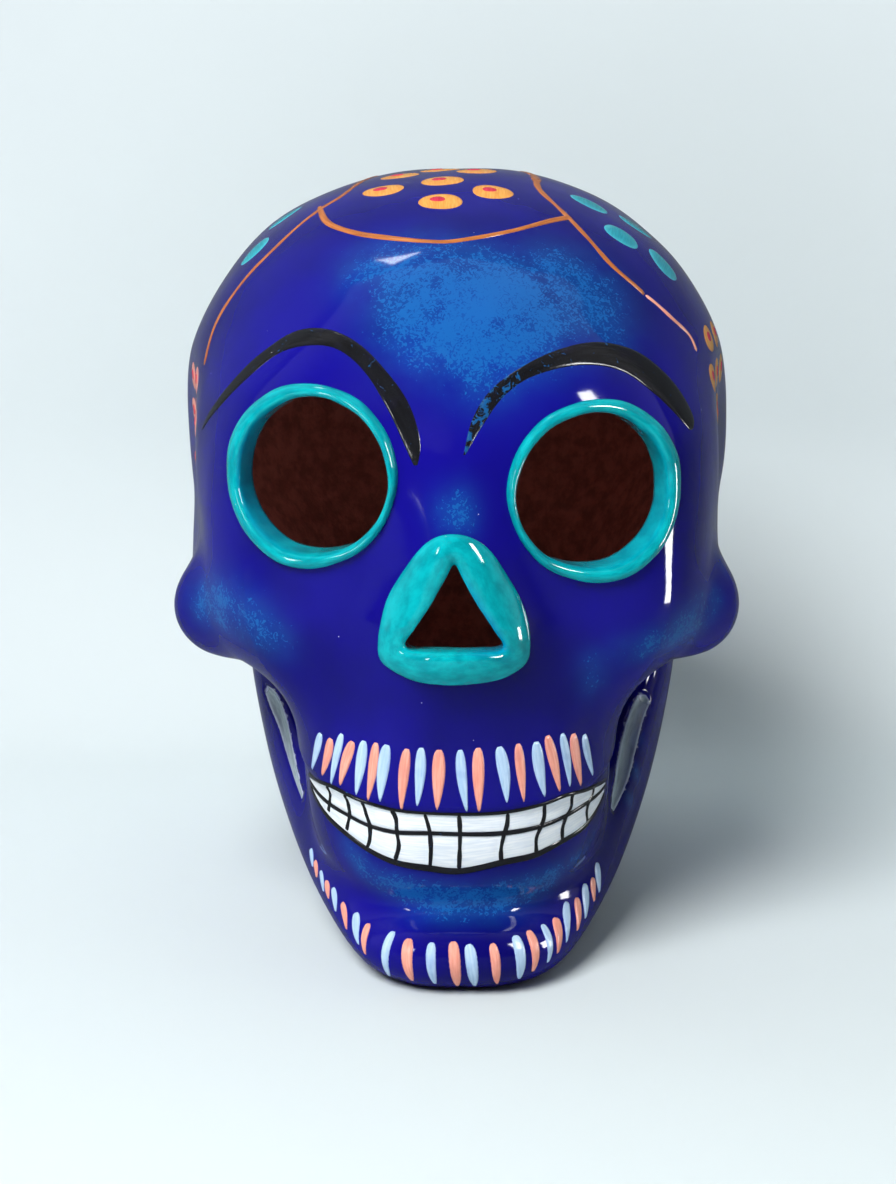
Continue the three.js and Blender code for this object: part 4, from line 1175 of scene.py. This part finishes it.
def mouth():
    teeth_upper = between(MOUTH_UPPER, MOUTH_MIDDLE, 7, 90)
    teeth_lower = between(MOUTH_MIDDLE, MOUTH_LOWER, 9, 90)
    paint_piece("upper_teeth_painted", [teeth_upper], WHITE, "upper_teeth")
    paint_piece("lower_teeth_painted", [teeth_lower], WHITE, "lower_teeth")
    lines = [
        line(MOUTH_UPPER, 0.48, 90, 9, 0.34, 0.3),
        line(MOUTH_MIDDLE, 0.54, 90, 9, 0.34, 0.3),
        line(MOUTH_LOWER, 0.86, 110, 9, 0.36, 0.3),
    ]
    lines += [line(pixels, 0.54, 16, 9, 0.35) for pixels in TOOTH_LINES]
    paint_piece("mouth_lines_painted", lines, BLACK, "mouth_outline")


def teardrop(top_pixel, foot_pixel, half_mm, seed):
    ends = on_photo(np.array([top_pixel, foot_pixel], float))
    share = np.linspace(0, 1, 15)
    centres = ends[0] + share[:, None] * (ends[1] - ends[0])
    centres = settle(centres, clay, 4)
    normals = normals_at(centres)
    side = unit(np.cross(normals, ends[1] - ends[0]))
    bow = 0.28 * math.sin(seed * 1.7)
    centres = centres + side * (bow * np.sin(math.pi * share))[:, None]
    belly = np.sin(math.pi * (0.02 + 0.965 * share) ** 0.66) ** 0.72
    return ribbon(centres, half_mm * (1 + 0.12 * math.sin(seed * 2.3)) * belly, 9, 0.22)


def strokes():
    rows = {"lip": (LIP_STROKES, 1.35), "chin": (CHIN_STROKES, 1.3)}
    for row, (places, half) in rows.items():
        for first, color, material in ((0, "pale_blue", PALE_BLUE), (1, "coral", CORAL)):
            sheets = [teardrop(*places[i], half, i) for i in range(first, len(places), 2)]
            paint_piece(f"{row}_strokes_{color}", sheets, material)


def crown_point(shares):
    half = np.array(CRANIUM_SIZES) / 2
    aim = np.array(shares) * half + np.array(CRANIUM_MIDDLE) - MIDDLE
    return from_middle(aim[None])[0]


def crown():
    left = np.vstack([crown_point((-0.3, 0.05, 0.95)), on_photo(np.array(CROWN_LEFT, float))])
    right = np.vstack([crown_point((0.24, 0.05, 0.97)), on_photo(np.array(CROWN_RIGHT, float))])
    share = np.linspace(0, 1, 70)
    uneven = 1 + 0.12 * np.sin(31 * share) + 0.1 * np.sin(53 * share + 1)
    lines = [
        line(CROWN_ARC, 0.86, 80, ends=0.4),
        ribbon(sample(left, 70), 0.74 * uneven, 7),
        ribbon(sample(right, 70), (0.74 + 0.5 * np.exp(-(((share - 0.2) / 0.2) ** 2))) * uneven, 7),
    ]
    paint_piece("crown_lines_painted", lines, ORANGE, "crown_lines")
    paint_piece("crown_line_coral_end", [line(CROWN_CORAL, 0.7, 30)], CORAL)


def node_middle(name):
    low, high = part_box(name)
    return settle(((np.array(low) + np.array(high)) / 2 / METRES)[None])[0]


def tangent_frame(centre):
    normal = normals_at(centre[None])[0]
    across = unit(np.cross([0, 1.0, 0.01], normal))
    return across, unit(np.cross(normal, across))


def dots():
    centres = []
    for i in range(1, 8):
        name = f"flower_dot_{i}"
        centre = node_middle(name)
        across, upward = tangent_frame(centre)
        dab = disc(centre, across, upward, (5.1, 4.9), i)
        paint_piece(name + "_painted", [dab], YELLOW, name)
        centres.append(disc(centre - 0.7 * across + 1.0 * upward, across, upward, (2.0, 1.8), i, 0.34, 9))
    paint_piece("flower_dot_centres", centres, RED)
    for i in range(1, 7):
        name = f"teal_dot_{i}"
        centre = node_middle(name)
        across, upward = tangent_frame(centre)
        dab = disc(centre, across, upward, (4.9, 4.6), 2.3 * i)
        paint_piece(name + "_painted", [dab], TEAL, name)


# Flowers of dabs on the temples, which the photograph shows from their edge: middle and colours.
SIDE_FLOWERS = {
    "left_temple": ((61.5, -22.0, 128.5), YELLOW, "yellow_enamel"),
    "right_temple": ((-62.0, -20.0, 118.0), CORAL, "coral_enamel"),
}


def side_flowers():
    for side, (middle, material, slot) in SIDE_FLOWERS.items():
        centre = settle(np.array([middle], float))[0]
        normal = normals_at(centre[None])[0]
        across = unit(np.cross([0, 0, 1.0], normal))
        upward = np.cross(normal, across)
        petals, hearts = [], []
        for i in range(7):
            turn = i * math.pi / 3
            reach = 0.0 if i == 6 else 10.2
            place = centre + reach * (math.cos(turn) * across + math.sin(turn) * upward)
            place = settle(place[None])[0]
            petals.append(disc(place, across, upward, (3.9, 3.6), i))
            hearts.append(disc(place + 0.4 * upward, across, upward, (1.7, 1.5), i, 0.34, 9))
        paint_piece(f"{side}_petals", petals, material)
        paint_piece(f"{side}_petal_centres", hearts, RED)


LOW = np.array([-70.0, -94.0, -3.0])
HIGH = np.array([70.0, 94.0, 180.0])

clay_pieces()
for rim_name in OPENINGS:
    rim_piece(rim_name)
brows()
mouth()
strokes()
crown()
dots()
side_flowers()
slot_slip()


# Stage

PALE = linear(232, 243, 247)
WALL_BACK = 0.19
WALL_ARC = 0.09
STAGE_HALF = 1.4
STAGE_HIGH = 1.6
# Where the card starts to show its plain colour, and where it shows nothing else
PLAIN_MIDDLE = (0.02, 0.0, 0.07)
PLAIN_REACH = (0.11, 0.3)


def pale_ground():
    """Pale card. Far from the object the camera sees its plain colour; in reflections on the glaze it is
    painted dark, a painted dim reflection.
    """
    nodes = Nodes(bpy.data.materials.new("pale_card"))
    cloud = nodes.range(nodes.noise(nodes.place(), 9, 3), 0.35, 0.65)
    color = nodes.mix(cloud, PALE, linear(229, 240, 245))
    # Painted dim reflection: rays reflected off the glaze see the card painted mostly dark instead of its
    # lit colour
    seen_in_reflection = nodes.add("ShaderNodeLightPath", output="Is Glossy Ray")
    card = nodes.mix(nodes.math("MULTIPLY", seen_in_reflection, 0.8), linear(208, 217, 219), linear(40, 44, 50))
    nodes.surface(card, 0.85)
    nodes.shader.inputs["Specular IOR Level"].default_value = 0.1
    flattened = nodes.stretched(nodes.place(), 1.0, 0.5, 1.0)
    between_them = {0: flattened, 1: PLAIN_MIDDLE}
    away = nodes.add("ShaderNodeVectorMath", between_them, "Value", operation="DISTANCE")
    seen = nodes.add("ShaderNodeLightPath", output="Is Camera Ray")
    plain = nodes.math("MULTIPLY", seen, nodes.range(away, *PLAIN_REACH))
    glow = nodes.add("ShaderNodeEmission", {"Color": color})
    shown = nodes.either(plain, nodes.shader.outputs[0], glow)
    back = nodes.add("ShaderNodeNewGeometry", output="Backfacing")
    nodes.finish("Material Output", nodes.either(back, shown, nodes.add("ShaderNodeBsdfTransparent")))
    return nodes.owner


def make_stage():
    """Floor and backdrop in one sweep, and the floor behind it for a view from the back."""
    turn = np.linspace(0, math.pi / 2, 33)
    foot = WALL_BACK - WALL_ARC
    rows = [(-STAGE_HALF, 0.0)]
    rows += [(foot + WALL_ARC * math.sin(t), WALL_ARC * (1 - math.cos(t))) for t in turn]
    rows += [(WALL_BACK, STAGE_HIGH)]
    behind = [(foot, 0.0), (STAGE_HALF, 0.0)]
    card = pale_ground()
    for name, strip in (("stage_sweep", rows), ("stage_behind", behind)):
        vertices = np.array([(x, y, z) for y, z in strip for x in (-STAGE_HALF, STAGE_HALF)]) / METRES
        faces = [(2 * i, 2 * i + 1, 2 * i + 3, 2 * i + 2) for i in range(len(strip) - 1)]
        make_object(name, vertices, faces, card)


def area_light(name, place, aim, size, power, only_gloss=True):
    data = bpy.data.lights.new(name, "AREA")
    data.shape = "RECTANGLE"
    data.size, data.size_y = size
    data.energy = power
    light = bpy.data.objects.new(name, data)
    bpy.context.scene.collection.objects.link(light)
    light.location = place
    direction = Vector(np.array(aim) - np.array(place))
    light.rotation_euler = direction.to_track_quat("-Z", "Y").to_euler()
    light.visible_diffuse = not only_gloss
    light.visible_glossy = only_gloss


def mirror_light(name, pixel, distance, size, radiance):
    """A panel whose reflection in the glaze shows at a pixel of the photograph."""
    place = on_photo(np.array([pixel], float))[0]
    normal = normals_at(place[None])[0]
    view = unit(place - camera_place())
    away = view - 2 * (view @ normal) * normal
    spot = place * METRES + away * distance
    area_light(name, spot, place * METRES, size, radiance * math.pi * size[0] * size[1])


# Lamps, in metres and watts: name, place, width and height, power, seen only as a reflection
LAMPS = [
    ("key_softbox", (-0.42, -0.78, 0.98), (0.6, 0.6), 22, False),
    ("window_right", (0.63, -0.5, 0.5), (0.13, 0.36), 4.4, True),
    ("window_left", (-0.6, -0.62, 0.3), (0.07, 0.24), 0.9, True),
    ("ceiling_panel", (-0.15, 0.25, 0.9), (0.3, 0.12), 1.2, True),
]
LAMP_AIM = (0, 0, 0.09)
INSIDE_FILL = (-0.02, 0.0, 0.118)
INSIDE_FILL_WATTS = 0.015
INSIDE_FILL_RADIUS = 0.015


def make_lights():
    world = bpy.data.worlds.new("studio")
    bpy.context.scene.world = world
    nodes = Nodes(world, "Background")
    generated = nodes.add("ShaderNodeTexCoord", output="Generated")
    depth = nodes.add("ShaderNodeSeparateXYZ", {0: generated}, "Y")
    nodes.put(nodes.shader.inputs["Strength"], nodes.range(depth, -0.6, 0.8, 0.05, 0.7))
    nodes.put(nodes.shader.inputs["Color"], (1.0, 1.0, 1.0))
    plain = nodes.add("ShaderNodeBackground", {"Color": PALE})
    seen = nodes.add("ShaderNodeLightPath", output="Is Camera Ray")
    nodes.finish("World Output", nodes.either(seen, nodes.shader.outputs[0], plain))
    for name, place, size, power, only_gloss in LAMPS:
        area_light(name, place, LAMP_AIM, size, power, only_gloss)
    mirror_light("window_cheek", (669, 578), 0.3, (0.05, 0.11), 26)
    inside = bpy.data.objects.new("inside_fill", bpy.data.lights.new("inside_fill", "POINT"))
    inside.data.energy = INSIDE_FILL_WATTS
    inside.data.shadow_soft_size = INSIDE_FILL_RADIUS
    inside.location = INSIDE_FILL
    inside.visible_camera = False
    inside.visible_glossy = False
    bpy.context.scene.collection.objects.link(inside)


make_stage()
make_lights()
bpy.context.scene.view_settings.view_transform = "Standard"
